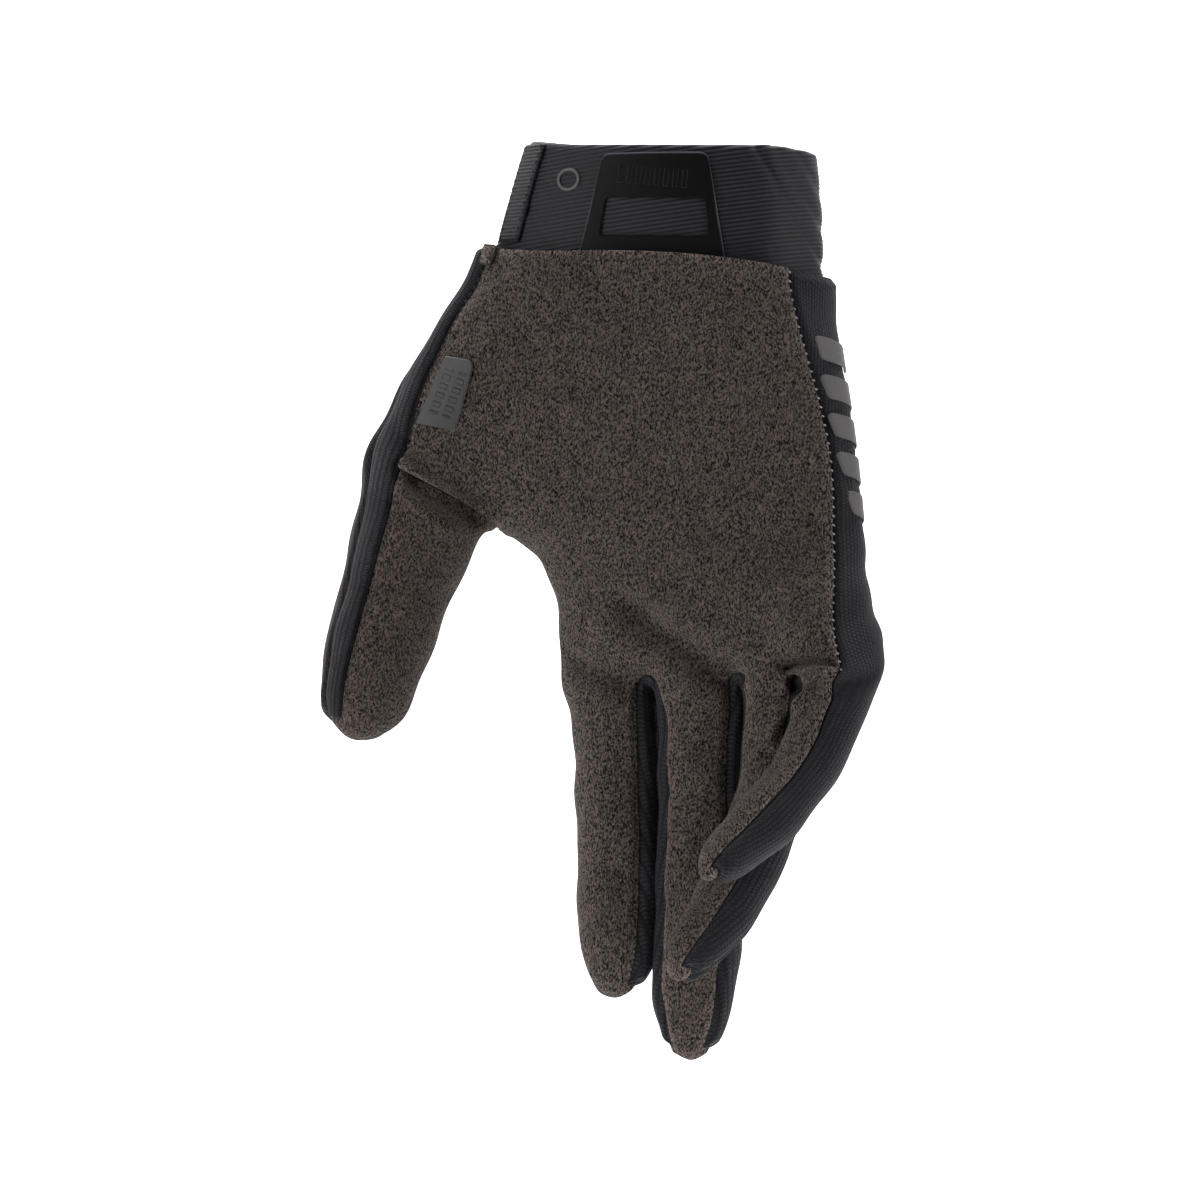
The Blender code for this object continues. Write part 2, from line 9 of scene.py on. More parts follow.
import bpy
import numpy as np
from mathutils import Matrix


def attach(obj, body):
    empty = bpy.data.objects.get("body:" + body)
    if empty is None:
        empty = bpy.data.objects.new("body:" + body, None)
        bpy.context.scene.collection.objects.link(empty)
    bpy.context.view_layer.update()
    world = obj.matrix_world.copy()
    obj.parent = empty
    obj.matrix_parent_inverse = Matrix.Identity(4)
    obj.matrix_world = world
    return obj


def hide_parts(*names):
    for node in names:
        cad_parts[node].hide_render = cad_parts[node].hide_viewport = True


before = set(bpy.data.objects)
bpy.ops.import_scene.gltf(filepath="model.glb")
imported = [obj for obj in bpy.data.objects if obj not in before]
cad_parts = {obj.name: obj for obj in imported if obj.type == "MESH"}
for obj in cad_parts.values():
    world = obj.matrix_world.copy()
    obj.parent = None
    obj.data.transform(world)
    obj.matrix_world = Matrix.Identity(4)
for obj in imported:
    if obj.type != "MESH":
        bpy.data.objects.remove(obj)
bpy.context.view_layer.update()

# The worn form: the shape that a hand of 82 mm breadth gives to the cloth. It is a coarse net of
# rings round the wrist, the palm and each finger, smoothed, and each face of it belongs to one
# cut piece of cloth. Lengths across are shares of the breadth and lengths down of the palm's.
CUFF_HEIGHT, CUFF_WIDTH, CUFF_DEPTH = 0.026, 0.066, 0.040
PALM_LENGTH, HAND_BREADTH, HAND_THICKNESS = 0.099, 0.082, 0.028
SUEDE, KNIT, ELASTIC, PATCH, LAYER_GAP = 0.0011, 0.0013, 0.0014, 0.0008, 0.0003
CUFF_INSET = SUEDE + PATCH + 2 * LAYER_GAP
FRONT_ANGLES = (140, 90, 40)
THUMB_SIDE_ANGLES = (-168, 165)
NET_SWELL = 1.09
THUMB_COLUMNS, FINGER_COLUMNS, HAND_COLUMNS = 2, 2, 8
FRONT_COLUMNS = THUMB_COLUMNS + HAND_COLUMNS
FINGER_EDGES = (0, 0.28, 0.585, 0.80, 1)
SIDE_SHARE, DOWN_CURVE, CUFF_DIP, BACK_WEB_RISE = 0.010, 2.5, 0.0022, 0.006
Section = namedtuple(
    "Section",
    "left_x left_y left_down web_down right_x right_y right_down web_at turn_left turn_right "
    "thumb_thick hand_thick web_dip seam_left seam_right fullness",
)
CUFF_SECTIONS = (
    Section(-0.492, 0.09, -0.09, -0.05, 0.548, -0.09, 0.08, 0.18, 10, 10, 1.0, 1.0, 0, 0.03, 0.14, 2.0),
    Section(-0.558, 0.10, 0.42, 0.46, 0.576, -0.10, 0.62, 0.18, 10, 10, 0.98, 0.98, 0, 0.03, 0.14, 2.1),
)
THUMB_SECTIONS = (
    Section(-0.530, 0.085, -0.02, 0.00, 0.514, -0.098, 0.08, 0.18, 10, 10, 1.34, 1.34, 0, 0.03, 0.18, 2.2),
    Section(-0.574, 0.08, 0.05, 0.06, 0.516, -0.11, 0.13, 0.19, 10, 12, 1.32, 1.30, 0, 0.035, 0.16, 2.3),
    Section(-0.660, 0.06, 0.155, 0.17, 0.512, -0.13, 0.20, 0.20, 8, 14, 1.30, 1.22, 0, 0.04, 0.12, 2.4),
    Section(-0.765, 0.04, 0.275, 0.31, 0.516, -0.16, 0.33, 0.22, 4, 18, 1.28, 1.12, 0.05, 0.06, 0.065, 2.4),
    Section(-0.826, 0.02, 0.365, 0.46, 0.526, -0.20, 0.49, 0.24, -4, 22, 1.14, 1.02, 0.20, 0.065, 0.035, 2.5),
    Section(-0.880, 0.00, 0.435, 0.615, 0.540, -0.255, 0.65, 0.26, -10, 30, 1.00, 0.95, 0.50, 0.07, 0.045, 2.5),
)
KNUCKLE_SECTIONS = (
    Section(-0.358, 0.05, 0.685, 0, 0.542, -0.32, 0.75, 0, 14, 40, 0.88, 0.88, 0, 0.03, 0.062, 2.5),
    Section(-0.318, 0.05, 0.83, 0, 0.543, -0.405, 0.87, 0, 18, 52, 0.84, 0.84, 0.05, 0.03, 0.085, 2.5),
    Section(-0.320, 0.045, 0.975, 0, 0.602, -0.530, 0.97, 0, 18, 60, 0.76, 0.76, 0.25, 0.03, 0.12, 2.4),
)
Finger = namedtuple(
    "Finger", "name length width thick turn_base turn_tip splay bend_base bend_middle bend_tip"
)
FINGERS = (
    Finger("index", 0.0745, 0.0195, 0.0172, 20, 20, 4.5, 4, 13, 18),
    Finger("middle", 0.088, 0.0190, 0.0168, 20, 14, -0.6, 2, 8, 14),
    Finger("ring", 0.078, 0.0162, 0.0164, 44, 54, 0.5, 7, 32, 47),
    Finger("little", 0.0595, 0.0148, 0.0150, 50, 66, 2, 26, 48, 56),
)
THUMB = Finger("thumb", 0.0580, 0.0238, 0.0215, -20, -22, -20, 4, 10, 14)
FingerRing = namedtuple("FingerRing", "along width thick")
FINGER_RINGS = (
    FingerRing(0.13, 1.02, 1.04),
    FingerRing(0.33, 1.00, 1.01),
    FingerRing(0.54, 0.99, 0.97),
    FingerRing(0.75, 0.98, 0.96),
    FingerRing(0.92, 0.86, 0.76),
    FingerRing(1.00, 0.44, 0.34),
)
THUMB_RINGS = (
    FingerRing(0.13, 1.20, 1.18),
    FingerRing(0.33, 1.09, 1.08),
    FingerRing(0.54, 1.01, 0.99),
    FingerRing(0.75, 0.98, 0.94),
    FingerRing(0.92, 0.85, 0.74),
    FingerRing(1.00, 0.54, 0.36),
)
BEND_STOPS, PATH_STEPS = (0, 0.32, 0.46, 0.66, 0.78, 1), 60
TIP_POINT, TIP_SHARPNESS = 0.16, 4
REGIONS = (
    "cuff", "palm_hem", "back_hem", "strip_hem", "palm", "back", "strip", "thumb_front",
    "thumb_back", "gusset_0", "gusset_1", "gusset_2",
)
SMOOTH_LEVELS = 4


def unit(vectors):
    return vectors / np.linalg.norm(vectors, axis=-1, keepdims=True)


def spine(section, shares, breadth):
    """Middle line of a section: a Hermite curve between its two ends, with a unit direction."""
    ends = np.array([[section.left_x, section.left_y, 0], [section.right_x, section.right_y, 0]]) * breadth
    turns = np.radians([section.turn_left, section.turn_right])
    ways = np.stack([np.cos(turns), -np.sin(turns), 0 * turns], axis=1)
    leave, arrive = ways * np.linalg.norm(ends[1] - ends[0])
    s = shares[:, None]
    middle = (2 * s**3 - 3 * s**2 + 1) * ends[0] + (s**3 - 2 * s**2 + s) * leave
    middle += (3 * s**2 - 2 * s**3) * ends[1] + (s**3 - s**2) * arrive
    along = 6 * (s**2 - s) * (ends[0] - ends[1])
    along += (3 * s**2 - 4 * s + 1) * leave + (3 * s**2 - 2 * s) * arrive
    return middle, unit(along)


def section_ring(section, breadth, thickness, top, length):
    """Corners round a section: a superellipse's half depth to each side of its middle line."""
    web = section.web_at
    first = web or section.seam_left
    edges = np.interp(np.linspace(0, 4, HAND_COLUMNS + 1), range(5), FINGER_EDGES)
    thumb = np.linspace(section.seam_left, web, THUMB_COLUMNS + 1)[:-1] if web else np.empty(0)
    front = np.concatenate([thumb, first + (1 - section.seam_right - first) * edges])
    column = np.arange(len(front))
    dipped = (column == len(thumb)) if web else (column % FINGER_COLUMNS == 0)
    dipped &= (column > 0) & (column < len(front) - 1)
    side = np.where(dipped, 1 - section.web_dip, 1.0)
    near_shares, near_sides = ((SIDE_SHARE, SIDE_SHARE), (-1, 1)) if web else ((0,), (0,))
    shares = np.concatenate([front, [1], front[::-1], near_shares])
    sides = np.concatenate([side, [0], -side[::-1], near_sides])
    middle, along = spine(section, shares, breadth)
    blend = np.minimum(1, shares / (2 * web)) if web else 1
    thick = section.thumb_thick + (section.hand_thick - section.thumb_thick) * blend
    rounding = (1 - abs(2 * shares - 1) ** section.fullness) ** (1 / section.fullness)
    start = section.web_down if web else section.left_down
    down = start + (section.right_down - start) * np.clip((shares - web) / (1 - web), 0, 1) ** DOWN_CURVE
    if web:
        thumb_down = section.left_down + (start - section.left_down) * shares / web
        down = np.where(shares < web, thumb_down, down)
    towards_palm = np.stack([along[:, 1], -along[:, 0], 0 * shares], axis=1)
    points = middle + towards_palm * (sides * thick * thickness / 2 * rounding)[:, None]
    points[:, 2] += top - down * length
    if section.web_dip and not web:
        points[len(front) + 1 : 2 * len(front) + 1, 2] += BACK_WEB_RISE
    return points


def finger_rings(finger, rings, start):
    """Rings of ellipse corners carried along a finger, whose direction turns by its bends."""
    steps = np.linspace(0, 1, PATH_STEPS + 1)
    bends = (finger.bend_base,) * 2 + (finger.bend_middle,) * 2 + (finger.bend_tip,) * 2
    bend = np.radians(np.interp(steps, BEND_STOPS, bends))[:, None]
    turn = np.radians(np.interp(steps, (0, 1), (finger.turn_base, finger.turn_tip)))
    splay = math.radians(finger.splay)
    down = np.array([math.sin(splay), 0, -math.cos(splay)])
    pad = np.stack([-np.sin(turn), -np.cos(turn), 0 * turn], axis=1)
    pad = unit(pad - (pad @ down)[:, None] * down)
    along = np.cos(bend) * down + np.sin(bend) * pad
    facing = np.cos(bend) * pad - np.sin(bend) * down
    moves = (along[1:] + along[:-1]) / 2 * finger.length / PATH_STEPS
    path = start + np.concatenate([np.zeros((1, 3)), np.cumsum(moves, axis=0)])
    near_side = THUMB_SIDE_ANGLES if finger is THUMB else (180,)
    angles = np.radians([*FRONT_ANGLES, 0, *(-a for a in reversed(FRONT_ANGLES)), *near_side])
    for ring in rings:
        centre, pad_way, axis = (
            np.array([np.interp(ring.along, steps, line[:, i]) for i in range(3)])
            for line in (path, facing, along)
        )
        across = np.cross(pad_way, axis) * finger.width * ring.width
        deep = pad_way * finger.thick * ring.thick
        beyond = finger.width * TIP_POINT * (ring is rings[-1]) * abs(np.sin(angles)) ** TIP_SHARPNESS
        ellipse = np.outer(np.cos(angles), across) + np.outer(np.sin(angles), deep)
        yield centre + ellipse * NET_SWELL / 2 + np.outer(beyond, axis)


def arc_round(points, zero):
    """Length of cloth round a ring of corners, counted from corner number zero."""
    length = np.concatenate([[0], np.cumsum(np.linalg.norm(np.diff(points, axis=0), axis=1))])
    return length - length[zero]


class Net:
    """Corners with their place in the cloth (round, down), faces, and each face's region."""

    def __init__(self):
        self.corners, self.cloth = np.empty((0, 3)), np.empty((0, 2))
        self.faces, self.regions = [], []

    def add(self, points, round_length, down_length):
        cloth = np.stack([round_length, np.broadcast_to(down_length, len(points))], axis=1)
        self.corners, self.cloth = np.vstack([self.corners, points]), np.vstack([self.cloth, cloth])
        return np.arange(len(self.corners) - len(points), len(self.corners))

    def between(self, first, second):
        """A new corner half way between two others."""
        pair = np.array([first, second])
        cloth = self.cloth[pair].mean(axis=0)
        return self.add(self.corners[pair].mean(axis=0)[None], cloth[:1], cloth[1])

    def band(self, upper, lower, regions):
        self.faces += np.stack([upper, lower, np.roll(lower, -1), np.roll(upper, -1)], axis=1).tolist()
        self.regions += regions

    def finger(self, finger, rings, base, regions, cap_region):
        """Bands from the base ring to the tip, whose last ring is closed by four faces."""
        start, middle_back = self.corners[base].mean(axis=0), 5
        down_start = self.cloth[base, 1].mean()
        last, made = base, [base]
        for ring, points in zip(rings, finger_rings(finger, rings, start)):
            length = arc_round(points, middle_back) + self.cloth[base[middle_back], 0]
            new = self.add(points, length, down_start + ring.along * finger.length)
            self.band(last, new, regions)
            made.append(new)
            last = new
        f0, f1, f2, outer, b2, b1, b0, *inner = last.tolist()
        self.faces += [[f0, b0, b1, f1], [f1, b1, b2, f2], [f2, b2, outer], [b0, f0, *inner[::-1]]]
        self.regions += [cap_region] * 4
        return made


def hand_regions(thumb_columns, end=""):
    back = ["back" + end] * (HAND_COLUMNS + 2)
    if thumb_columns:
        thumb_back = ["back" + end] * (thumb_columns + 2)
        return ["palm" + end] * (thumb_columns + HAND_COLUMNS) + back + thumb_back + ["strip" + end]
    return ["palm"] * HAND_COLUMNS + back + ["palm"] * 2


net, seams, rings = Net(), {}, []
outer_corner = FRONT_COLUMNS + 1
for section in CUFF_SECTIONS:
    width, depth = CUFF_WIDTH + 2 * CUFF_INSET, CUFF_DEPTH + 2 * CUFF_INSET
    points = section_ring(section, width, depth, 0, CUFF_HEIGHT)
    if section is CUFF_SECTIONS[0]:
        points[:outer_corner, 2] -= CUFF_DIP * np.sin(np.pi * np.arange(outer_corner) / FRONT_COLUMNS)
    rings.append(net.add(points, arc_round(points, outer_corner), -points[:, 2]))
for section in THUMB_SECTIONS:
    points = section_ring(section, HAND_BREADTH, HAND_THICKNESS, -CUFF_HEIGHT, PALM_LENGTH)
    rings.append(net.add(points, arc_round(points, outer_corner), -points[:, 2]))
cuff_rows = len(CUFF_SECTIONS)
for row, (upper, lower) in enumerate(zip(rings, rings[1:])):
    regions = hand_regions(THUMB_COLUMNS, "_hem" * (row == cuff_rows))
    if row < cuff_rows:
        regions = ["cuff"] * len(upper)
    if row > cuff_rows + 1:
        regions[-3 - THUMB_COLUMNS : -1] = ["thumb_back"] * (THUMB_COLUMNS + 2)
    net.band(upper, lower, regions)

last, fronts = rings[-1], FRONT_COLUMNS + 1
front, outer_side = last[:fronts], last[fronts : fronts + 1]
back, thumb_side = last[fronts + 1 : -2][::-1], last[-2:]
web = net.between(front[THUMB_COLUMNS], back[THUMB_COLUMNS])
thumb_base = np.concatenate([front[: THUMB_COLUMNS + 1], web, back[: THUMB_COLUMNS + 1][::-1], thumb_side])
thumb_made = net.finger(
    THUMB, THUMB_RINGS, thumb_base, ["thumb_front"] * 3 + ["thumb_back"] * 5 + ["strip"], "thumb_front"
)
hand = np.concatenate([front[THUMB_COLUMNS:], outer_side, back[THUMB_COLUMNS:][::-1], web])
seams["palm_side"] = [ring[FRONT_COLUMNS] for ring in rings[cuff_rows:]]
for section in KNUCKLE_SECTIONS:
    points = section_ring(section, HAND_BREADTH, HAND_THICKNESS, -CUFF_HEIGHT, PALM_LENGTH)
    ring = net.add(points, arc_round(points, HAND_COLUMNS + 1), -points[:, 2])
    net.band(hand, ring, hand_regions(0))
    seams["palm_side"].append(ring[HAND_COLUMNS])
    hand = ring
front, outer_side = hand[: HAND_COLUMNS + 1], hand[HAND_COLUMNS + 1 : HAND_COLUMNS + 2]
back, inner_side = hand[HAND_COLUMNS + 2 : -1][::-1], hand[-1:]
gaps = [
    net.between(front[column], back[column]) for column in range(FINGER_COLUMNS, HAND_COLUMNS, FINGER_COLUMNS)
]
sides = [inner_side, *gaps, outer_side]
for number, finger in enumerate(FINGERS):
    span = slice(number * FINGER_COLUMNS, (number + 1) * FINGER_COLUMNS + 1)
    base = np.concatenate([front[span], sides[number + 1], back[span][::-1], sides[number]])
    inner = f"gusset_{number - 1}" if number else "palm"
    outer = f"gusset_{number}" if number < len(FINGERS) - 1 else "back"
    regions = ["palm"] * 2 + [outer] * 2 + ["back"] * 2 + [inner] * 2
    made = net.finger(finger, FINGER_RINGS, base, regions, "palm")
    down_one_side, up_the_other = [ring[0] for ring in made], [ring[2] for ring in made[::-1]]
    seams[finger.name] = down_one_side + list(made[-1][[6, 5, 4]]) + up_the_other
seams["welt"] = [ring[0] for ring in rings[cuff_rows:] + thumb_made[1:]]
welt_back = [ring[-1] for ring in rings[cuff_rows:] + thumb_made[1:]]

Skin = namedtuple("Skin", "points normals faces regions cloth welt seams")


def smooth_skin(net, levels):
    """The net's limit surface as arrays, with the lines of corners that the seams follow."""
    mesh = bpy.data.meshes.new("worn_form")
    mesh.from_pydata(net.corners, [], net.faces)
    mesh.attributes.new("region", "INT", "FACE").data.foreach_set(
        "value", [REGIONS.index(region) for region in net.regions]
    )
    carried = {"cloth": net.cloth, "welt": np.zeros((len(net.corners), 2))}
    carried["welt"][seams["welt"], 0], carried["welt"][welt_back, 0] = 1, -1
    for name, line in seams.items():
        carried[name + "_line"] = np.zeros((len(net.corners), 2))
        carried[name + "_line"][line] = np.stack([np.ones(len(line)), np.arange(len(line))], axis=1)
    for name, values in carried.items():
        mesh.attributes.new(name, "FLOAT2", "POINT").data.foreach_set("vector", values.ravel())
    form = bpy.data.objects.new("worn_form", mesh)
    bpy.context.scene.collection.objects.link(form)
    smooth = form.modifiers.new("Smooth", "SUBSURF")
    smooth.levels = smooth.render_levels = levels
    done = form.evaluated_get(bpy.context.evaluated_depsgraph_get()).to_mesh()
    points, normals = np.empty(len(done.vertices) * 3), np.empty(len(done.vertices) * 3)
    done.vertices.foreach_get("co", points)
    done.vertices.foreach_get("normal", normals)
    points, normals = points.reshape(-1, 3), normals.reshape(-1, 3)
    corners, regions = np.empty(len(done.loops), int), np.empty(len(done.polygons), int)
    done.loops.foreach_get("vertex_index", corners)
    done.attributes["region"].data.foreach_get("value", regions)
    for name in carried:
        values = np.empty(len(points) * 2)
        done.attributes[name].data.foreach_get("vector", values)
        carried[name] = values.reshape(-1, 2)
    lines = {}
    for name in seams:
        on_line = np.flatnonzero(carried[name + "_line"][:, 0] > 0.9999)
        on_line = on_line[np.argsort(carried[name + "_line"][on_line, 1])]
        lines[name] = (points[on_line], normals[on_line])
    bpy.data.objects.remove(form)
    bpy.data.meshes.remove(mesh)
    faces = corners.reshape(-1, 4)
    return Skin(points, normals, faces, regions, carried["cloth"], carried["welt"][:, 0], lines)


skin = smooth_skin(net, SMOOTH_LEVELS)

# Folds of the worn cloth: where the hand's joints pinch it, where it lies over the thumb, and
# where it spans hollows. Each is a line of points on the front, in pixels of the photograph,
# which is 1200 high, with the fold's half width and its height, both in metres.
PIXEL, PIXEL_AT_ORIGIN = 0.00023, np.array([671, 147])
EYE = np.array([-0.01633, -1.15, -0.10419])
Fold = namedtuple("Fold", "line half_width height")
FOLDS = (
    Fold(((402, 438), (424, 462), (448, 482), (470, 496)), 0.0024, -0.0011),
    Fold(((412, 482), (434, 499), (460, 514), (486, 526)), 0.0014, -0.0022),
    Fold(((396, 489), (418, 507), (443, 527)), 0.0022, 0.0012),
    Fold(((367, 590), (405, 584), (447, 597)), 0.0018, -0.0005),
    Fold(((372, 612), (410, 606), (445, 622)), 0.0024, 0.0004),
    Fold(((360, 640), (400, 650)), 0.0020, -0.0003),
    Fold(((505, 320), (520, 350)), 0.0065, -0.0013),
    Fold(((487, 380), (530, 381), (573, 377)), 0.0010, -0.0003),
    Fold(((553, 447), (635, 445), (720, 437)), 0.0012, -0.0004),
    Fold(((735, 428), (772, 418)), 0.0010, -0.0003),
    Fold(((560, 530), (600, 565)), 0.0060, -0.0011),
    Fold(((570, 660), (620, 680), (643, 683)), 0.0028, -0.0021),
    Fold(((630, 610), (677, 643), (720, 673), (733, 683)), 0.0032, -0.0032),
    Fold(((645, 588), (695, 622), (745, 652)), 0.0040, 0.0010),
    Fold(((608, 632), (650, 664), (688, 690)), 0.0032, 0.0009),
    Fold(((752, 270), (750, 325), (748, 383)), 0.0040, 0.0007),
    Fold(((806, 480), (803, 567)), 0.0040, -0.0006),
    Fold(((798, 596), (800, 625)), 0.0056, 0.0030),
    Fold(((786, 669), (796, 664), (812, 661), (832, 662)), 0.0009, -0.0032),
    Fold(((789, 672), (800, 670), (815, 669), (830, 670)), 0.0010, 0.0012),
    Fold(((793, 680), (797, 688)), 0.0011, -0.0030),
    Fold(((806, 690), (785, 715), (745, 775)), 0.0012, 0.0010),
    Fold(((585, 772), (612, 768), (640, 776)), 0.0016, -0.0004),
    Fold(((580, 872), (610, 868), (638, 876)), 0.0016, -0.0003),
    Fold(((668, 792), (695, 788), (716, 796)), 0.0016, -0.0004),
    Fold(((664, 905), (690, 900), (708, 908)), 0.0016, -0.0003),
    Fold(((752, 742), (768, 752), (776, 764)), 0.0012, -0.0005),
    Fold(((700, 842), (716, 850), (728, 862)), 0.0012, -0.0005),
)
# Cloth takes a fold in full where it faces forwards, and none where it is nearly sideways
SIDEWAYS, FACING_SPAN = 0.05, 0.4
# Loose cloth is never quite even: three crossed waves, each with its length, slant and height
Wave = namedtuple("Wave", "length across deep down height")
WAVES = (
    Wave(0.0170, 0.75, 0.35, 0.65, 0.00022),
    Wave(0.0110, -0.55, 0.50, 0.80, 0.00014),
    Wave(0.0065, 0.90, -0.45, -0.35, 0.00007),
)
# Where the bent little finger gathers its cloth sideways: a place in the photograph's pixels, its
# reach in pixels, the shift across in metres, and how near the front the cloth must lie, which
# it nears over a few millimetres.
Tuck = namedtuple("Tuck", "place reach shift nearer")
TUCKS = (
    Tuck((806, 702), 24, -0.0021, -0.0335),
    Tuck((840, 683), 12, -0.0020, -0.0300),
)
TUCK_NEARING = 0.003


def seen_in_front(points):
    """The photograph's pixel of each point: its place across and up, scaled by its distance."""
    scale = EYE[1] / (EYE[1] - points[:, 1:2])
    flat = EYE[[0, 2]] + (points[:, [0, 2]] - EYE[[0, 2]]) * scale
    return PIXEL_AT_ORIGIN + flat / PIXEL * (1, -1)


def near_line(points, line, half_width):
    """A bell curve of the distance in the front view from each point to a line of pixels."""
    seen, line = seen_in_front(points), np.array(line, float)
    nearest = np.full(len(points), np.inf)
    for start, end in zip(line, line[1:]):
        run = end - start
        part = np.clip((seen - start) @ run / (run @ run), 0, 1)[:, None]
        nearest = np.minimum(nearest, np.linalg.norm(seen - start - part * run, axis=1))
    return np.exp(-((nearest * PIXEL / half_width) ** 2))


def fold_height(points, normals):
    """The folds, on cloth that faces forwards, and the waves."""
    height = np.zeros(len(points))
    for fold in FOLDS:
        height += fold.height * near_line(points, fold.line, fold.half_width)
    height *= np.clip((-normals[:, 1] - SIDEWAYS) / FACING_SPAN, 0, 1)
    for wave in WAVES:
        way = np.array([wave.across, wave.deep, wave.down])
        height += wave.height * np.sin(2 * np.pi / wave.length * (points @ way))
    return height


for tuck in TUCKS:
    apart = np.linalg.norm(seen_in_front(skin.points) - tuck.place, axis=1)
    in_front = np.clip((tuck.nearer - skin.points[:, 1]) / TUCK_NEARING, 0, 1)
    skin.points[:, 0] += tuck.shift * in_front * np.exp(-((apart / tuck.reach) ** 2))

# How a cut cloth lies: it turns down into its seam over `reach`, swells a little beside it,
# carries the folds, and is closed round its rim to an inner side one thickness below.
SEAM_GAP = 0.0001
SWELL_AT, SWELL_WIDTH = 2.2, 1.1
SETTLE_STEPS = 18


def rim_of(points, normals, faces):
    """Edges of the cloth's boundary, and for each corner the way into the cloth."""
    edges = np.concatenate([faces[:, [i, (i + 1) % 4]] for i in range(4)])
    _, first, count = np.unique(np.sort(edges, axis=1), axis=0, return_index=True, return_counts=True)
    rim = edges[first[count == 1]]
    inward = unit(np.cross(normals[rim].mean(axis=1), points[rim[:, 1]] - points[rim[:, 0]]))
    moves = np.zeros_like(points)
    for end in (0, 1):
        np.add.at(moves, rim[:, end], inward)
    return rim, moves / np.maximum(np.linalg.norm(moves, axis=1, keepdims=True), 1e-9)


def from_seam(points, faces, rim, farthest):
    """Distance of each corner from the rim, spread along the cloth's edges and diagonals."""
    sides_and_diagonals = ((0, 1), (1, 2), (2, 3), (3, 0), (0, 2), (1, 3))
    pairs = np.concatenate([faces[:, pair] for pair in sides_and_diagonals])
    pairs = np.concatenate([pairs, pairs[:, ::-1]])
    lengths = np.linalg.norm(points[pairs[:, 0]] - points[pairs[:, 1]], axis=1)
    away = np.full(len(points), farthest)
    away[rim.ravel()] = 0
    for _ in range(SETTLE_STEPS):
        np.minimum.at(away, pairs[:, 1], away[pairs[:, 0]] + lengths)
    return away


def mesh_piece(name, points, faces, material, cloth=None, edge=None, sharp=50):
    """A named mesh at the origin, with its place in the cloth as a UV map and its edge mask."""
    mesh = bpy.data.meshes.new(name)
    mesh.from_pydata(points, [], faces)
    mesh.shade_smooth()
    mesh.set_sharp_from_angle(angle=math.radians(sharp))
    if cloth is not None:
        corners = np.empty(len(mesh.loops), int)
        mesh.loops.foreach_get("vertex_index", corners)
        mesh.uv_layers.new(name="cloth").data.foreach_set("uv", cloth[corners].ravel())
    if edge is not None:
        mesh.attributes.new("edge", "FLOAT", "POINT").data.foreach_set("value", edge)
    mesh.materials.append(material)
    made = bpy.data.objects.new(name, mesh)
    bpy.context.scene.collection.objects.link(made)
    return made


def cut_cloth(
    name, regions, thickness, material, drop=0.0004, reach=0.0009, swell=0.0002, shape=None, laid=None
):
    """Its regions of the worn form, turned down at the seams, folded, and given a thickness."""
    chosen = skin.faces[np.isin(skin.regions, [REGIONS.index(region) for region in regions])]
    used, faces = np.unique(chosen, return_inverse=True)
    faces = faces.reshape(-1, 4)
    points, normals, cloth = skin.points[used], skin.normals[used], skin.cloth[used]
    rim, inward = rim_of(points, normals, faces)
    away = from_seam(points, faces, rim, 12 * reach)
    height = fold_height(points, normals) - drop * np.exp(-((away / reach) ** 2))
    height += swell * np.exp(-((away / reach - SWELL_AT) ** 2) / SWELL_WIDTH)
    if shape is not None:
        height += shape(used, points, away)
    if laid is not None:
        cloth = laid(used, points)
    outer = points + inward * SEAM_GAP / 2 + normals * height[:, None]
    inner = points + inward * SEAM_GAP / 2 + normals * (np.minimum(height, 0) - thickness)[:, None]
    count = len(points)
    walls = np.stack([rim[:, 1], rim[:, 0], rim[:, 0] + count, rim[:, 1] + count], axis=1)
    edge = np.exp(-away / reach)
    return mesh_piece(
        name, np.vstack([outer, inner]), np.vstack([faces, faces[:, ::-1] + count, walls]), material,
        np.vstack([cloth, cloth]), np.concatenate([edge, edge]),
    )


# Palm: one piece of brushed taupe microsuede over the palm and the fronts of the four fingers.
# It is cut out whole, laid over the knit back at its long side, and overlocked along its edges.
def put(tree, kind, inputs=None, **settings):
    """A shader node with its settings, and each input either a plain value or another's output."""
    made = tree.nodes.new("ShaderNode" + kind)
    for name, value in settings.items():
        setattr(made, name, value)
    for socket, value in (inputs or {}).items():
        if isinstance(value, bpy.types.NodeSocket):
            tree.links.new(value, made.inputs[socket])
        else:
            made.inputs[socket].default_value = value
    return made


def reckon(tree, operation, *values):
    """One step of arithmetic on values that change over the surface."""
    return put(tree, "Math", dict(enumerate(values)), operation=operation).outputs[0]


def new_group(name, inputs, outputs):
    """A node group with its named inputs and outputs, each given with its kind."""
    tree = bpy.data.node_groups.new(name, "ShaderNodeTree")
    for in_out, sockets in (("INPUT", inputs), ("OUTPUT", outputs)):
        for label, kind in sockets.items():
            tree.interface.new_socket(label, in_out=in_out, socket_type="NodeSocket" + kind)
    return tree, tree.nodes.new("NodeGroupInput").outputs, tree.nodes.new("NodeGroupOutput").inputs


def noise(tree, size, detail=3, roughness=0.55, where=None, distortion=0):
    """Noise whose lumps are about `size` metres across, from 0 to 1."""
    where = where or put(tree, "TexCoord").outputs["Object"]
    settings = {"Vector": where, "Scale": 1 / size, "Detail": detail, "Roughness": roughness}
    return put(tree, "TexNoise", {**settings, "Distortion": distortion}).outputs[0]


def spread(tree, value, amount):
    """One, plus how far a noise lies from its middle, times amount."""
    return reckon(tree, "MULTIPLY_ADD", value, amount, 1 - amount / 2)


def shaded(tree, colour, *factors):
    """A colour multiplied by each of the factors."""
    for factor in factors:
        colour = put(tree, "VectorMath", {0: colour, "Scale": factor}, operation="SCALE").outputs[0]
    return colour


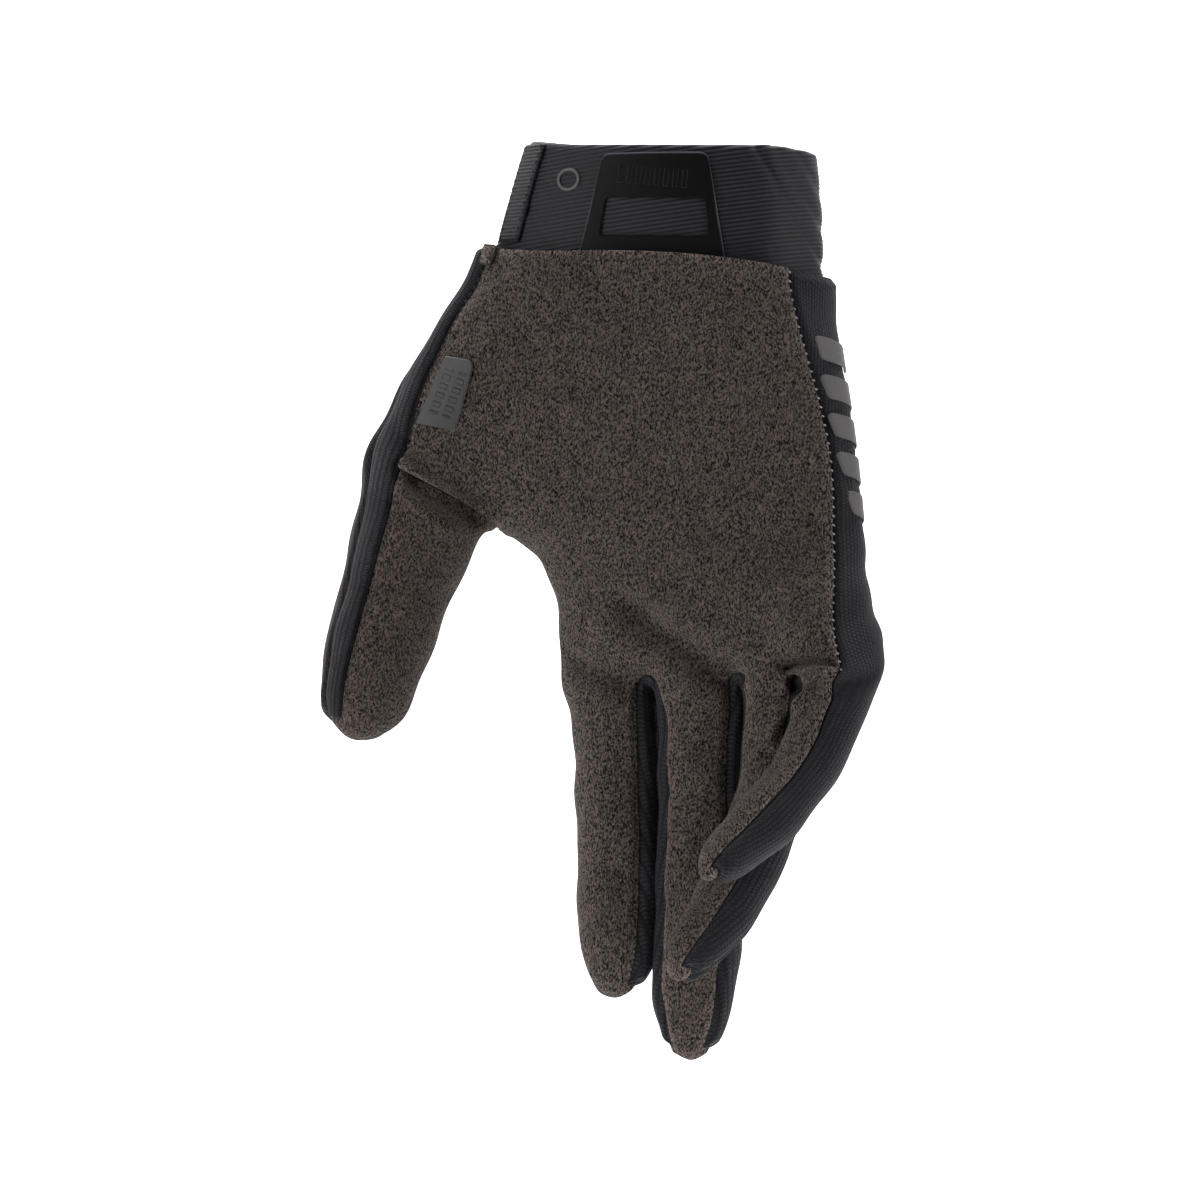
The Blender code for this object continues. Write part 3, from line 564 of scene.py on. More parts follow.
nap, given, result = new_group(
    "Brushed nap", {"Colour": "Color", "Brushing": "Float"}, {"Colour": "Color", "Height": "Float"}
)
leaning = put(nap, "Mapping", {
    "Vector": put(nap, "TexCoord").outputs["Object"], "Rotation": (0, 0.4, 0), "Scale": (1.4, 1, 0.85),
}).outputs[0]
tufts = noise(nap, 0.00050, 2, 0.45, leaning, 0.5)
fibres, stroked = noise(nap, 0.00028, 2), noise(nap, 0.0055, 2)
clumped = put(
    nap, "MapRange", {0: tufts, 1: 0.34, 2: 0.66, 3: -0.5, 4: 0.5}, interpolation_type="SMOOTHSTEP"
).outputs[0]
tuft_shade = reckon(nap, "MULTIPLY_ADD", clumped, given["Brushing"], 1)
tufted = shaded(nap, given["Colour"], tuft_shade, spread(nap, fibres, 0.45), spread(nap, stroked, 0.35))
nap.links.new(tufted, result["Colour"])
nap.links.new(reckon(nap, "MULTIPLY_ADD", clumped, 0.8, reckon(nap, "MULTIPLY", fibres, 0.2)), result["Height"])

edge_wear_and_seam_shade, given, result = new_group(
    "Rubbed edge", {"Colour": "Color", "Edge": "Float", "Lighter": "Float"}, {"Colour": "Color"}
)
# Near the edge the colour turns lighter as rubbed wear where Lighter is above zero, and darker as painted shade
# in the seam's groove where Lighter is below zero.
frayed_wear_and_seam_shade = reckon(edge_wear_and_seam_shade, "MULTIPLY", given["Edge"], noise(edge_wear_and_seam_shade, 0.0006, 2))
lighter = reckon(edge_wear_and_seam_shade, "MULTIPLY_ADD", frayed_wear_and_seam_shade, given["Lighter"], 1)
edge_wear_and_seam_shade.links.new(shaded(edge_wear_and_seam_shade, given["Colour"], lighter), result["Colour"])


def place(tree, group, inputs):
    """A node group placed in a material, with its values."""
    return put(tree, "Group", inputs, node_tree=group).outputs


def new_finish(name, roughness, sheen=0, sheen_tint=(1, 1, 1), shine=0.5):
    """A material with its shader, whose even values are set on the shader itself."""
    made = bpy.data.materials.new(name)
    made.use_nodes = True
    shader = made.node_tree.nodes["Principled BSDF"]
    shader.inputs["Roughness"].default_value = roughness
    shader.inputs["Sheen Weight"].default_value = sheen
    shader.inputs["Sheen Roughness"].default_value = 0.45
    shader.inputs["Sheen Tint"].default_value = (*sheen_tint, 1)
    shader.inputs["Specular IOR Level"].default_value = shine
    return made, made.node_tree, shader.inputs


def suede_finish(name, colour, brushing=1.8):
    made, tree, shader = new_finish(name, 0.95, 0.14, (0.95, 0.88, 0.84), 0.10)
    brushed = place(tree, nap, {"Colour": (*colour, 1), "Brushing": brushing})
    edge = put(tree, "Attribute", attribute_name="edge").outputs["Fac"]
    edge_toned = place(tree, edge_wear_and_seam_shade, {"Colour": brushed["Colour"], "Edge": edge, "Lighter": 1.6})
    tree.links.new(edge_toned["Colour"], shader["Base Color"])
    bump = put(tree, "Bump", {"Height": brushed["Height"], "Strength": 0.8, "Distance": 0.0003})
    tree.links.new(bump.outputs[0], shader["Normal"])
    return made


THUMB_LIP = ((398, 462), (420, 478), (440, 490), (462, 503), (488, 517))
LIP_RISE, LIP_HALF_WIDTH = 0.0020, 0.0016
taupe_suede = suede_finish("taupe_suede", (0.067, 0.053, 0.047), 1.9)


def palm_lip(used, points, away):
    """Lifted over the root of the thumb, where its edge stands off as a lip."""
    return LIP_RISE * near_line(points, THUMB_LIP, LIP_HALF_WIDTH)


palm = cut_cloth("palm_suede", ("palm", "palm_hem"), SUEDE, taupe_suede, drop=0.0003, shape=palm_lip)
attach(palm, "root")
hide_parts("palm_panel")

# Thumb front: a second piece of the same suede, whose upper edge runs under the palm's fold and
# lies deeper there.
TUCKED_DEPTH, TUCKED_HALF_WIDTH = 0.0012, 0.0014
# Painted a little darker than the palm's suede, as painted shade where the thumb lies back below the palm's
# fold.
thumb_suede = suede_finish("thumb_suede", (0.062, 0.048, 0.042))


def under_the_lip(used, points, away):
    """Sunk where the palm's lip lies over it."""
    return -TUCKED_DEPTH * near_line(points, THUMB_LIP, TUCKED_HALF_WIDTH)


thumb = cut_cloth(
    "thumb_suede", ("thumb_front",), SUEDE, thumb_suede, drop=0.0009, reach=0.0013, shape=under_the_lip
)
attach(thumb, "root")
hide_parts("thumb_front")

# Side welt: a folded strip of grey knit over the whole seam on the thumb's side, rounded over
# the seam's bulk, with a groove at each edge where it is sewn down.
WELT_RISE, WELT_TUBE, WELT_HALF_WIDTH = 0.0015, 0.75, 0.0018
knit_cells, given, result = new_group(
    "Knit cells",
    {"Cloth": "Vector", "Cell Width": "Float", "Cell Height": "Float", "Lean": "Float"},
    {"Height": "Float", "Shade": "Float"},
)
CELL_WANDER = 0.00022
uneven = put(
    knit_cells, "TexNoise", {"Scale": 500, "Detail": 1, "Vector": put(knit_cells, "TexCoord").outputs["Object"]}
)
wander = put(
    knit_cells, "VectorMath", {0: uneven.outputs["Color"], "Scale": CELL_WANDER}, operation="SCALE"
).outputs[0]
strayed = put(knit_cells, "VectorMath", {0: given["Cloth"], 1: wander}, operation="ADD").outputs[0]
place_in = put(knit_cells, "SeparateXYZ", {0: strayed}).outputs
column = reckon(knit_cells, "DIVIDE", place_in[0], given["Cell Width"])
half_drop = reckon(knit_cells, "FRACT", reckon(knit_cells, "MULTIPLY", reckon(knit_cells, "FLOOR", column), 0.5))
across = reckon(knit_cells, "ABSOLUTE", reckon(knit_cells, "SUBTRACT", reckon(knit_cells, "FRACT", column), 0.5))
lean = reckon(knit_cells, "MULTIPLY_ADD", across, given["Lean"], half_drop)
row = reckon(knit_cells, "ADD", reckon(knit_cells, "DIVIDE", place_in[1], given["Cell Height"]), lean)
down = reckon(knit_cells, "ABSOLUTE", reckon(knit_cells, "SUBTRACT", reckon(knit_cells, "FRACT", row), 0.5))
crown = [reckon(knit_cells, "MULTIPLY_ADD", reckon(knit_cells, "MULTIPLY", d, d), -4, 1) for d in (across, down)]
cell = reckon(knit_cells, "POWER", reckon(knit_cells, "MULTIPLY", *crown), 0.7)
knit_cells.links.new(cell, result["Height"])
# Each cell's crown is painted lighter and the gaps between cells darker, as painted light and painted shade on
# the knit's relief; the yarn noise is the knit's own tone.
lit_crowns_shaded_gaps = reckon(knit_cells, "MULTIPLY_ADD", cell, 1.35, 0.12)
yarn_shade = spread(knit_cells, noise(knit_cells, 0.0004, 2), 0.6)
knit_cells.links.new(reckon(knit_cells, "MULTIPLY", lit_crowns_shaded_gaps, yarn_shade), result["Shade"])


def knit_finish(name, colour, cell_width, cell_height, lean=0, depth=0.0003, sheen=0.05, lighter=0.8):
    made, tree, shader = new_finish(name, 0.80, sheen, (0.90, 0.92, 1.0), 0.25)
    cloth = put(tree, "UVMap", uv_map="cloth").outputs[0]
    knitted = place(tree, knit_cells, {
        "Cloth": cloth, "Cell Width": cell_width, "Cell Height": cell_height, "Lean": lean,
    })
    coloured = shaded(tree, (*colour,), knitted["Shade"], spread(tree, noise(tree, 0.004, 2), 0.35))
    edge = put(tree, "Attribute", attribute_name="edge").outputs["Fac"]
    edge_toned = place(tree, edge_wear_and_seam_shade, {"Colour": coloured, "Edge": edge, "Lighter": lighter})
    tree.links.new(edge_toned["Colour"], shader["Base Color"])
    bump = put(tree, "Bump", {"Height": knitted["Height"], "Strength": 0.8, "Distance": depth})
    tree.links.new(bump.outputs[0], shader["Normal"])
    return made


def welt_crown(used, points, away):
    """A tube along the strip's middle, from the place between its two edges."""
    return WELT_RISE * np.sqrt(np.clip(1 - (skin.welt[used] / WELT_TUBE) ** 2, 0, 1))


def along_strip(used, points):
    """Its place in the knit: across the strip, and down."""
    return np.stack([skin.welt[used] * WELT_HALF_WIDTH, points[:, 2]], axis=1)


# Its edges are painted near black (lighter=-1.9), as painted shade in the grooves where it is sewn down.
welt_knit = knit_finish("welt_knit", (0.044, 0.042, 0.049), 0.0005, 0.0006, 1.2, lighter=-1.9)
welt = cut_cloth(
    "side_welt", ("strip", "strip_hem"), KNIT, welt_knit,
    drop=0.0012, reach=0.0008, swell=0, shape=welt_crown, laid=along_strip,
)
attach(welt, "root")
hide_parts("side_strip")

# Thumb back: a dark brown knit behind the welt, which rounds the thumb's outer side.
# Its edges are painted darker (lighter=-1.9), as painted shade in the grooves of its seams.
brown_knit = knit_finish("brown_knit", (0.032, 0.025, 0.027), 0.0010, 0.0008, 1.0, lighter=-1.9)
thumb_back = cut_cloth("thumb_back_knit", ("thumb_back",), KNIT, brown_knit, drop=0.0012)
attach(thumb_back, "root")
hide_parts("thumb_back")

# Back: grey knit over the back of the hand, the little finger's side and the backs of the
# fingers. It is one piece, and the palm's edge is sewn on top of it.
# Its edges are painted darker (lighter=-1.2), as painted shade in the grooves of its seams.
grey_knit = knit_finish("grey_knit", (0.015, 0.014, 0.018), 0.0011, 0.0008, 0.8, lighter=-1.2)
back_knit = cut_cloth("back_knit", ("back", "back_hem"), KNIT, grey_knit, drop=0.0008)
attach(back_knit, "root")
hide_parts("back_panel")

# Gussets: three folded pieces of a coarser scale knit between the fingers, from one fingertip
# down to the crotch and up to the next.
GUSSET_FULLNESS, FULL_FROM_SEAM = 0.0009, 0.0025


def gusset_fullness(used, points, away):
    """Pressed out between the fingers, away from its seams."""
    return GUSSET_FULLNESS * (1 - np.exp(-((away / FULL_FROM_SEAM) ** 2)))


def seen_from_side(used, points):
    """Its place in the knit: deep and down."""
    return np.ascontiguousarray(points[:, 1:])


scale_knit = knit_finish("scale_knit", (0.014, 0.014, 0.017), 0.0012, 0.0010, lean=1.0, depth=0.0004)
for number, between in enumerate(("index_middle", "middle_ring", "ring_little")):
    gusset = cut_cloth(
        f"gusset_knit_{between}", (f"gusset_{number}",), KNIT, scale_knit, drop=0.0006, shape=gusset_fullness,
        laid=seen_from_side if number < 2 else None,
    )
    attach(gusset, "root")
    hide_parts(f"gusset_{between}")

# Cuff: a band of ribbed black elastic, cut in one with its hem row below the palm's edge. The
# ribs run round the wrist, a little aslant, and pucker where the band is gathered.
RIB_PITCH, RIB_HEIGHT, RIB_SLANT = 0.00096, 0.00022, -0.13
Crease = namedtuple("Crease", "beyond deep")
CUFF_CREASES = (Crease(0, 0.0006), Crease(0.0046, 0.0004), Crease(0.0088, 0.0003), Crease(-0.0520, 0.0003))
CREASE_AT, CREASE_WAY, CREASE_HALF_WIDTH, CREASE_FRONT = (0.0216, -0.0048), (0.83, 0.56), 0.0009, 0.004
TOP_FOLD, TOP_ROUNDING, TOP_WEAR = 0.0010, 0.0006, 0.0012
CUFF_ROWS_PER_RING, CUFF_COLUMNS_PER_CORNER, CUFF_RINGS = 56, 9, 4
CUFF_ROWS_LEFT_OUT, INNER_ROW_STEP = 4, 8


def spline_grid(corners, rows_each, columns_each):
    """A cubic B-spline over rings of corners: open down the rings, closed round them."""
    ends = np.concatenate([[2 * corners[0] - corners[1]], corners, [2 * corners[-1] - corners[-2]]])
    count = corners.shape[1]

    def weights(part):
        powers = np.stack([part**3, part**2, part, np.ones_like(part)], axis=1)
        return powers @ np.array([[-1, 3, -3, 1], [3, -6, 3, 0], [-3, 0, 3, 0], [1, 4, 1, 0]]) / 6

    down = np.linspace(0, len(corners) - 1, rows_each * (len(corners) - 1) + 1)
    first = np.minimum(down.astype(int), len(corners) - 2)
    grid = np.einsum("rk,rknc->rnc", weights(down - first), ends[first[:, None] + np.arange(4)])
    across = np.arange(count * columns_each) / columns_each
    start = across.astype(int)
    around = (start[:, None] + np.arange(-1, 3)) % count
    return np.einsum("mk,rmkc->rmc", weights(across - start), grid[:, around])


def grid_faces(rows, columns, wrap_rows=False):
    """Quads of a grid that is closed across its columns, and down its rows if asked."""
    row = np.arange(rows if wrap_rows else rows - 1)[:, None]
    column, below = np.arange(columns)[None], (row + 1) % rows
    after = (column + 1) % columns
    quads = (row * columns + column, below * columns + column, below * columns + after, row * columns + after)
    return np.stack(np.broadcast_arrays(*quads), axis=-1).reshape(-1, 4)


def grid_normals(grid):
    """Outward normals of a grid closed across its columns, from its two directions."""
    round_way = np.roll(grid, -1, axis=1) - np.roll(grid, 1, axis=1)
    return unit(np.cross(np.gradient(grid, axis=0), round_way))


def cuff_band():
    """The spline through the cuff's rings, in to its own depth, ribbed, and closed as a band."""
    form = spline_grid(net.corners[np.array(rings[:CUFF_RINGS])], CUFF_ROWS_PER_RING, CUFF_COLUMNS_PER_CORNER)
    form = form[: CUFF_ROWS_PER_RING * (CUFF_RINGS - 1) - CUFF_ROWS_LEFT_OUT]
    out = grid_normals(form)
    slanted = form[..., 2] + RIB_SLANT * form[..., 0]
    ribs = RIB_HEIGHT * (0.5 + 0.5 * np.cos(2 * np.pi * slanted / RIB_PITCH)) ** 0.7
    beyond = CREASE_WAY[0] * (form[..., 0] - CREASE_AT[0]) + CREASE_WAY[1] * (form[..., 2] - CREASE_AT[1])
    creases = sum(
        -crease.deep * np.exp(-(((beyond - crease.beyond) / CREASE_HALF_WIDTH) ** 2)) for crease in CUFF_CREASES
    )
    creases = creases * np.clip(-form[..., 1] / CREASE_FRONT, 0, 1)
    from_top = form[:1, :, 2] - form[..., 2]
    rounding = TOP_ROUNDING * np.clip(1 - from_top / TOP_FOLD, 0, 1) ** 2
    outer = form + out * (ribs + creases - CUFF_INSET - rounding)[..., None]
    inner = form + out * (creases - CUFF_INSET - ELASTIC)[..., None]
    loops = np.concatenate([outer, inner[::-INNER_ROW_STEP]])
    rows, columns = loops.shape[:2]
    edge = np.exp(-np.abs(loops[..., 2] - loops[:1, :, 2]) / TOP_WEAR)
    cloth = np.stack([loops[..., 0], loops[..., 2]], axis=-1)
    return loops.reshape(-1, 3), grid_faces(rows, columns, wrap_rows=True), cloth.reshape(-1, 2), edge.ravel()


def elastic_finish(name, colour):
    made, tree, shader = new_finish(name, 0.58, 0.04, (0.90, 0.88, 1.0), 0.25)
    where = put(tree, "SeparateXYZ", {0: put(tree, "TexCoord").outputs["Object"]}).outputs
    # The ribs' crests are painted lighter and their grooves darker, as painted highlight and painted shade over
    # the ribs' geometry.
    turn = reckon(tree, "MULTIPLY_ADD", where[0], RIB_SLANT, where[2])
    wave = reckon(tree, "COSINE", reckon(tree, "MULTIPLY", turn, 2 * math.pi / RIB_PITCH))
    yarn = noise(tree, 0.0003, 2)
    coloured = shaded(
        tree, (*colour,), reckon(tree, "MULTIPLY_ADD", wave, 0.72, 0.82), spread(tree, yarn, 0.7),
        spread(tree, noise(tree, 0.005, 2), 0.3),
    )
    edge = put(tree, "Attribute", attribute_name="edge").outputs["Fac"]
    edge_toned = place(tree, edge_wear_and_seam_shade, {"Colour": coloured, "Edge": edge, "Lighter": 0.8})
    tree.links.new(edge_toned["Colour"], shader["Base Color"])
    bump = put(tree, "Bump", {"Height": yarn, "Strength": 0.6, "Distance": 0.0002})
    tree.links.new(bump.outputs[0], shader["Normal"])
    return made


elastic = elastic_finish("ribbed_elastic", (0.018, 0.016, 0.020))
cuff_points, cuff_faces, cuff_cloth, cuff_edge = cuff_band()
cuff = mesh_piece("cuff_elastic", cuff_points, cuff_faces, elastic, cuff_cloth, cuff_edge)
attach(cuff, "root")
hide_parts("cuff_band")

# Things laid on the cloth: each is drawn as an outline on a flat view, laid on the worn form, and
# given a thickness with rounded edges. They stand in loops from the outline in to a hole's edge
# or to the middle.
View = namedtuple("View", "ahead right up")
FRONT = View((0, 1, 0), (1, 0, 0), (0, 0, 1))
LITTLE_SIDE = View((-1, 0, 0), (0, 1, 0), (0, 0, 1))
THUMB_SIDE = View((0.8, 0.6, 0), (0.6, -0.8, 0), (0, 0, 1))
LAY_REACH, EDGE_WIDTH, TOP_FALL = 0.0007, 0.0003, 0.7
CORNER_POINTS, SIDE_POINTS = 9, 22


def laid_on(flat, view):
    """Each point of a flat drawing pushed ahead onto the form: a bell-weighted mean of the
    form's points around it, with their mean normal."""
    ahead, right, up = (np.array(way, float) for way in view)
    at = np.stack([skin.points @ right, skin.points @ up], axis=1)
    low, high = flat.min(axis=0) - 5 * LAY_REACH, flat.max(axis=0) + 5 * LAY_REACH
    near = (skin.normals @ ahead < -0.25) & np.all((at > low) & (at < high), axis=1)
    apart = ((flat[:, None] - at[near]) ** 2).sum(axis=2)
    weight = np.exp(-(apart - apart.min(axis=1, keepdims=True)) / (2 * LAY_REACH**2))
    weight /= weight.sum(axis=1, keepdims=True)
    depth = weight @ (skin.points[near] @ ahead)
    return flat[:, :1] * right + flat[:, 1:] * up + depth[:, None] * ahead, unit(weight @ skin.normals[near])


def rounded_outline(corners, radii):
    """Clockwise corners joined by straight sides, each corner rounded by a quadratic curve."""
    corners = np.array(corners, float)
    back, forth = unit(np.roll(corners, 1, axis=0) - corners), unit(np.roll(corners, -1, axis=0) - corners)
    reach = (np.array(radii) / np.tan(np.arccos((back * forth).sum(axis=1)) / 2))[:, None]
    starts, ends = corners + back * reach, corners + forth * reach
    s = np.linspace(0, 1, CORNER_POINTS)[None, :, None]
    rounds = (1 - s) ** 2 * starts[:, None] + 2 * s * (1 - s) * corners[:, None] + s**2 * ends[:, None]
    t = np.linspace(0, 1, SIDE_POINTS + 2)[None, 1:-1, None]
    straights = (1 - t) * ends[:, None] + t * np.roll(starts, -1, axis=0)[:, None]
    return np.concatenate([rounds, straights], axis=1).reshape(-1, 2)


def circle(centre, radius, count=96):
    """A clockwise circle on the flat drawing."""
    turn = -np.linspace(0, 2 * np.pi, count, endpoint=False)
    return np.array(centre) + radius * np.stack([np.cos(turn), np.sin(turn)], axis=1)


def laid_piece(name, view, outline, hole, lift, thickness, material, loops=16, soft=None):
    """Loops eased from the outline to the hole or the middle; the top is rounded at its edges."""
    middle = np.broadcast_to(outline.mean(axis=0), outline.shape) if hole is None else hole
    ease = np.linspace(0, 1, loops)
    part = (1 - np.cos(np.pi * ease)) / 2 if hole is not None else (1 - np.cos(np.pi / 2 * ease)) * 0.999
    flat = outline + part[:, None, None] * (middle - outline)
    from_edge = np.linalg.norm(flat - flat[:1], axis=2)
    if hole is not None:
        from_edge = np.minimum(from_edge, np.linalg.norm(flat - flat[-1:], axis=2))
    soft = soft or thickness * 0.8
    rounded = 1 - np.sqrt(1 - (1 - np.minimum(from_edge / soft, 1)) ** 2)
    on_form, out = (a.reshape(*flat.shape[:2], 3) for a in laid_on(flat.reshape(-1, 2), view))
    height = lift - TOP_FALL * thickness * rounded
    # A mask along the outline, stored as edge: the corner loop's suede reads it as rubbed wear, and the tab's
    # satin as a painted highlight along its rim.
    worn = np.exp(-((np.linalg.norm(flat - flat[:1], axis=2) / EDGE_WIDTH) ** 2))
    top = on_form + out * height[..., None]
    base = on_form + out * (lift - thickness)
    count = flat.shape[1]
    if hole is not None:
        points = np.concatenate([top, base[::-1]]).reshape(-1, 3)
        edge = np.concatenate([worn, worn[::-1]]).ravel()
        faces = grid_faces(2 * loops, count, wrap_rows=True).tolist()
    else:
        body = np.concatenate([base[:1], top]).reshape(-1, 3)
        ends = np.stack([base[-1].mean(axis=0), top[-1].mean(axis=0)])
        points = np.concatenate([body, ends])
        edge = np.concatenate([worn[0], worn.ravel(), [0, 0]])
        i, last = np.arange(count), loops * count
        j = (i + 1) % count
        faces = grid_faces(loops + 1, count).tolist()
        faces += np.stack([0 * i + len(body), i, j], axis=1).tolist()
        faces += np.stack([last + i, 0 * i + len(body) + 1, last + j], axis=1).tolist()
    return mesh_piece(name, points, faces, material, edge=edge)


# Cuff's folded end: the elastic's end is turned back beside the thumb and stitched flat.
HEM_CORNERS = ((-0.0215, 0.0012), (-0.0120, 0.0008), (-0.0163, -0.0218), (-0.0240, -0.0215))
HEM_PITCH = 0.00085
hem_elastic, tree, shader = new_finish("hem_elastic", 0.6, 0.04, shine=0.3)
# Rows across the folded end are painted lighter and darker in turn, as painted highlight and painted shade on
# its ribs.
where = put(tree, "SeparateXYZ", {0: put(tree, "TexCoord").outputs["Object"]}).outputs
turned = reckon(tree, "COSINE", reckon(tree, "MULTIPLY", where[2], 2 * math.pi / HEM_PITCH))
yarn = noise(tree, 0.0004, 3)
tree.links.new(
    shaded(
        tree, (0.018, 0.016, 0.020), reckon(tree, "MULTIPLY_ADD", turned, 0.45, 0.75), spread(tree, yarn, 1.1)
    ), shader["Base Color"],
)
woven = reckon(tree, "MULTIPLY_ADD", turned, 0.4, yarn)
tree.links.new(
    put(tree, "Bump", {"Height": woven, "Strength": 0.8, "Distance": 0.0003}).outputs[0], shader["Normal"]
)
hem = laid_piece(
    "cuff_folded_end", THUMB_SIDE, rounded_outline(HEM_CORNERS, (0.0009,) * 4), None,
    PATCH + LAYER_GAP - CUFF_INSET, PATCH, hem_elastic, loops=10,
)
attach(hem, "root")
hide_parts("cuff_hem")

# Pull tab: a satin black tab with a window to hook a finger in. Its rim is painted lighter as a painted
# highlight, its lower end runs under the palm's edge, and plain ridges stand above the window.
TAB_CORNERS = ((-0.0165, -0.0028), (0.0080, -0.0030), (0.0121, -0.0285), (-0.0221, -0.0272))
TAB_WINDOW = ((-0.0156, -0.0131), (0.0073, -0.0138), (0.0078, -0.0222), (-0.0170, -0.0216))
TAB_THICKNESS = 0.0005
bars, given, result = new_group(
    "Moulded bars",
    {"Middle": "Vector", "Along": "Vector", "Across": "Vector", "Pitch": "Float", "Row": "Float", "Bar": "Float",
     "Apart": "Float"},
    {"Height": "Float", "Outline": "Float"},
)
from_middle = put(
    bars, "VectorMath", {0: put(bars, "TexCoord").outputs["Object"], 1: given["Middle"]}, operation="SUBTRACT"
).outputs[0]
along, across = (
    put(bars, "VectorMath", {0: from_middle, 1: given[way]}, operation="DOT_PRODUCT").outputs["Value"]
    for way in ("Along", "Across")
)
in_pitch = reckon(bars, "FRACT", reckon(bars, "DIVIDE", along, given["Pitch"]))
off_bar = reckon(bars, "ABSOLUTE", reckon(bars, "SUBTRACT", in_pitch, 0.5))
bar_mask = put(bars, "MapRange", {0: off_bar, 1: 0.20, 2: 0.30, 3: 1.0, 4: 0.0}).outputs[0]
off_row = reckon(bars, "ABSOLUTE", reckon(bars, "SUBTRACT", reckon(bars, "ABSOLUTE", across), given["Apart"]))
masks = [
    put(bars, "MapRange", {0: reckon(bars, "SUBTRACT", half, off), 1: 0.0, 2: 0.00015}).outputs[0]
    for half, off in ((given["Bar"], off_row), (given["Row"], reckon(bars, "ABSOLUTE", along)))
]
bar_height = reckon(bars, "MULTIPLY", bar_mask, reckon(bars, "MULTIPLY", *masks))
bars.links.new(bar_height, result["Height"])
# A thin ring round each bar's edge, which the tab paints lighter as painted glints and the rubber patch paints
# darker as painted shade.
half_up = reckon(bars, "SUBTRACT", bar_height, reckon(bars, "POWER", bar_height, 2))
bars.links.new(reckon(bars, "MULTIPLY", half_up, 4), result["Outline"])

satin, tree, shader = new_finish("satin_black", 0.5, shine=0.12)
raised = place(tree, bars, {
    "Middle": (-0.0045, 0, -0.0083), "Along": (1, 0, -0.1), "Across": (0.1, 0, 1),
    "Pitch": 0.0021, "Row": 0.0088, "Bar": 0.0021, "Apart": 0.0,
})
edge = put(tree, "Attribute", attribute_name="edge").outputs["Fac"]
# The rim is painted up to 23 times lighter as a painted highlight, and the bars' outlines lighter as painted
# glints.
tree.links.new(
    shaded(
        tree, (0.0035, 0.0037, 0.0043), spread(tree, noise(tree, 0.0006, 2), 0.5),
        reckon(tree, "MULTIPLY_ADD", edge, 22, 1), reckon(tree, "MULTIPLY_ADD", raised["Outline"], 5, 1),
    ), shader["Base Color"],
)
tree.links.new(reckon(tree, "MULTIPLY_ADD", noise(tree, 0.0012, 3), 0.25, 0.40), shader["Roughness"])
tree.links.new(
    put(tree, "Bump", {
        "Height": reckon(tree, "MULTIPLY_ADD", noise(tree, 0.0003, 2), 0.10, raised["Height"]),
        "Strength": 0.8, "Distance": 0.0004,
    }).outputs[0], shader["Normal"],
)
tab = laid_piece(
    "cuff_pull_tab", FRONT, rounded_outline(TAB_CORNERS, (0.0024, 0.0024, 0.0004, 0.0004)),
    rounded_outline(TAB_WINDOW, (0.0009,) * 4), TAB_THICKNESS + LAYER_GAP - CUFF_INSET, TAB_THICKNESS, satin,
    loops=34,
)
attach(tab, "root")
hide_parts("pull_tab")

# Rubber patch at the thumb's seam: smooth charcoal rubber, moulded with two rows of plain bars,
# and bonded on the suede.
LABEL_LIFT, LABEL_THICKNESS = 0.0007, 0.0005
LABEL_CORNERS = ((-0.0515, -0.0485), (-0.0448, -0.0498), (-0.0492, -0.0656), (-0.0583, -0.0639))
rubber, tree, shader = new_finish("charcoal_rubber", 0.55, shine=0.4)
raised = place(tree, bars, {
    "Middle": (-0.0510, 0, -0.0570), "Along": (0.36, 0, 0.93), "Across": (0.93, 0, -0.36),
    "Pitch": 0.0022, "Row": 0.0055, "Bar": 0.0010, "Apart": 0.0016,
})
# The bars' outlines are painted darker, as painted shade in the moulding's grooves.
tree.links.new(
    shaded(
        tree, (0.050, 0.048, 0.050), spread(tree, noise(tree, 0.0009, 3), 0.25),
        reckon(tree, "MULTIPLY_ADD", raised["Outline"], -0.75, 1),
    ), shader["Base Color"],
)
tree.links.new(reckon(tree, "MULTIPLY_ADD", noise(tree, 0.0020, 3), 0.2, 0.45), shader["Roughness"])
tree.links.new(
    put(tree, "Bump", {
        "Height": reckon(tree, "MULTIPLY_ADD", noise(tree, 0.0002, 2), 0.05, raised["Height"]),
        "Strength": 0.9, "Distance": 0.0005,
    }).outputs[0], shader["Normal"],
)
label = laid_piece(
    "thumb_rubber_patch", FRONT, rounded_outline(LABEL_CORNERS, (0.0004, 0.0018, 0.0018, 0.0004)), None,
    LABEL_LIFT, LABEL_THICKNESS, rubber, loops=30,
)
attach(label, "root")
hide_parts("grip_label")

# Prints in soft raised ink: a plain ring on the cuff, and five slanted bars down the little
# finger's side of the hand.
MARK_CENTRE, MARK_RADII = (-0.0246, -0.0083), (0.0027, 0.0020)
INK = 0.0003
BAR_COUNT, BAR_TOP, BAR_PITCH, BAR_HEIGHT, BAR_SLANT = 5, -0.0440, 0.0088, 0.0058, 0.0030
BAR_FRONT, BAR_BACK, BAR_DRIFT = -0.0172, -0.0070, -0.0009
ink, tree, shader = new_finish("raised_ink", 0.6)
tree.links.new(
    shaded(tree, (0.080, 0.075, 0.074), spread(tree, noise(tree, 0.0007, 3), 0.5)), shader["Base Color"]
)
tree.links.new(
    put(tree, "Bump", {"Height": noise(tree, 0.0005, 3), "Strength": 0.5, "Distance": 0.0002}).outputs[0],
    shader["Normal"],
)
mark = laid_piece(
    "cuff_ring_print", FRONT, circle(MARK_CENTRE, MARK_RADII[0]), circle(MARK_CENTRE, MARK_RADII[1]),
    LAYER_GAP + INK - CUFF_INSET, INK, ink, loops=7,
)
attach(mark, "root")
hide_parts("ring_mark")
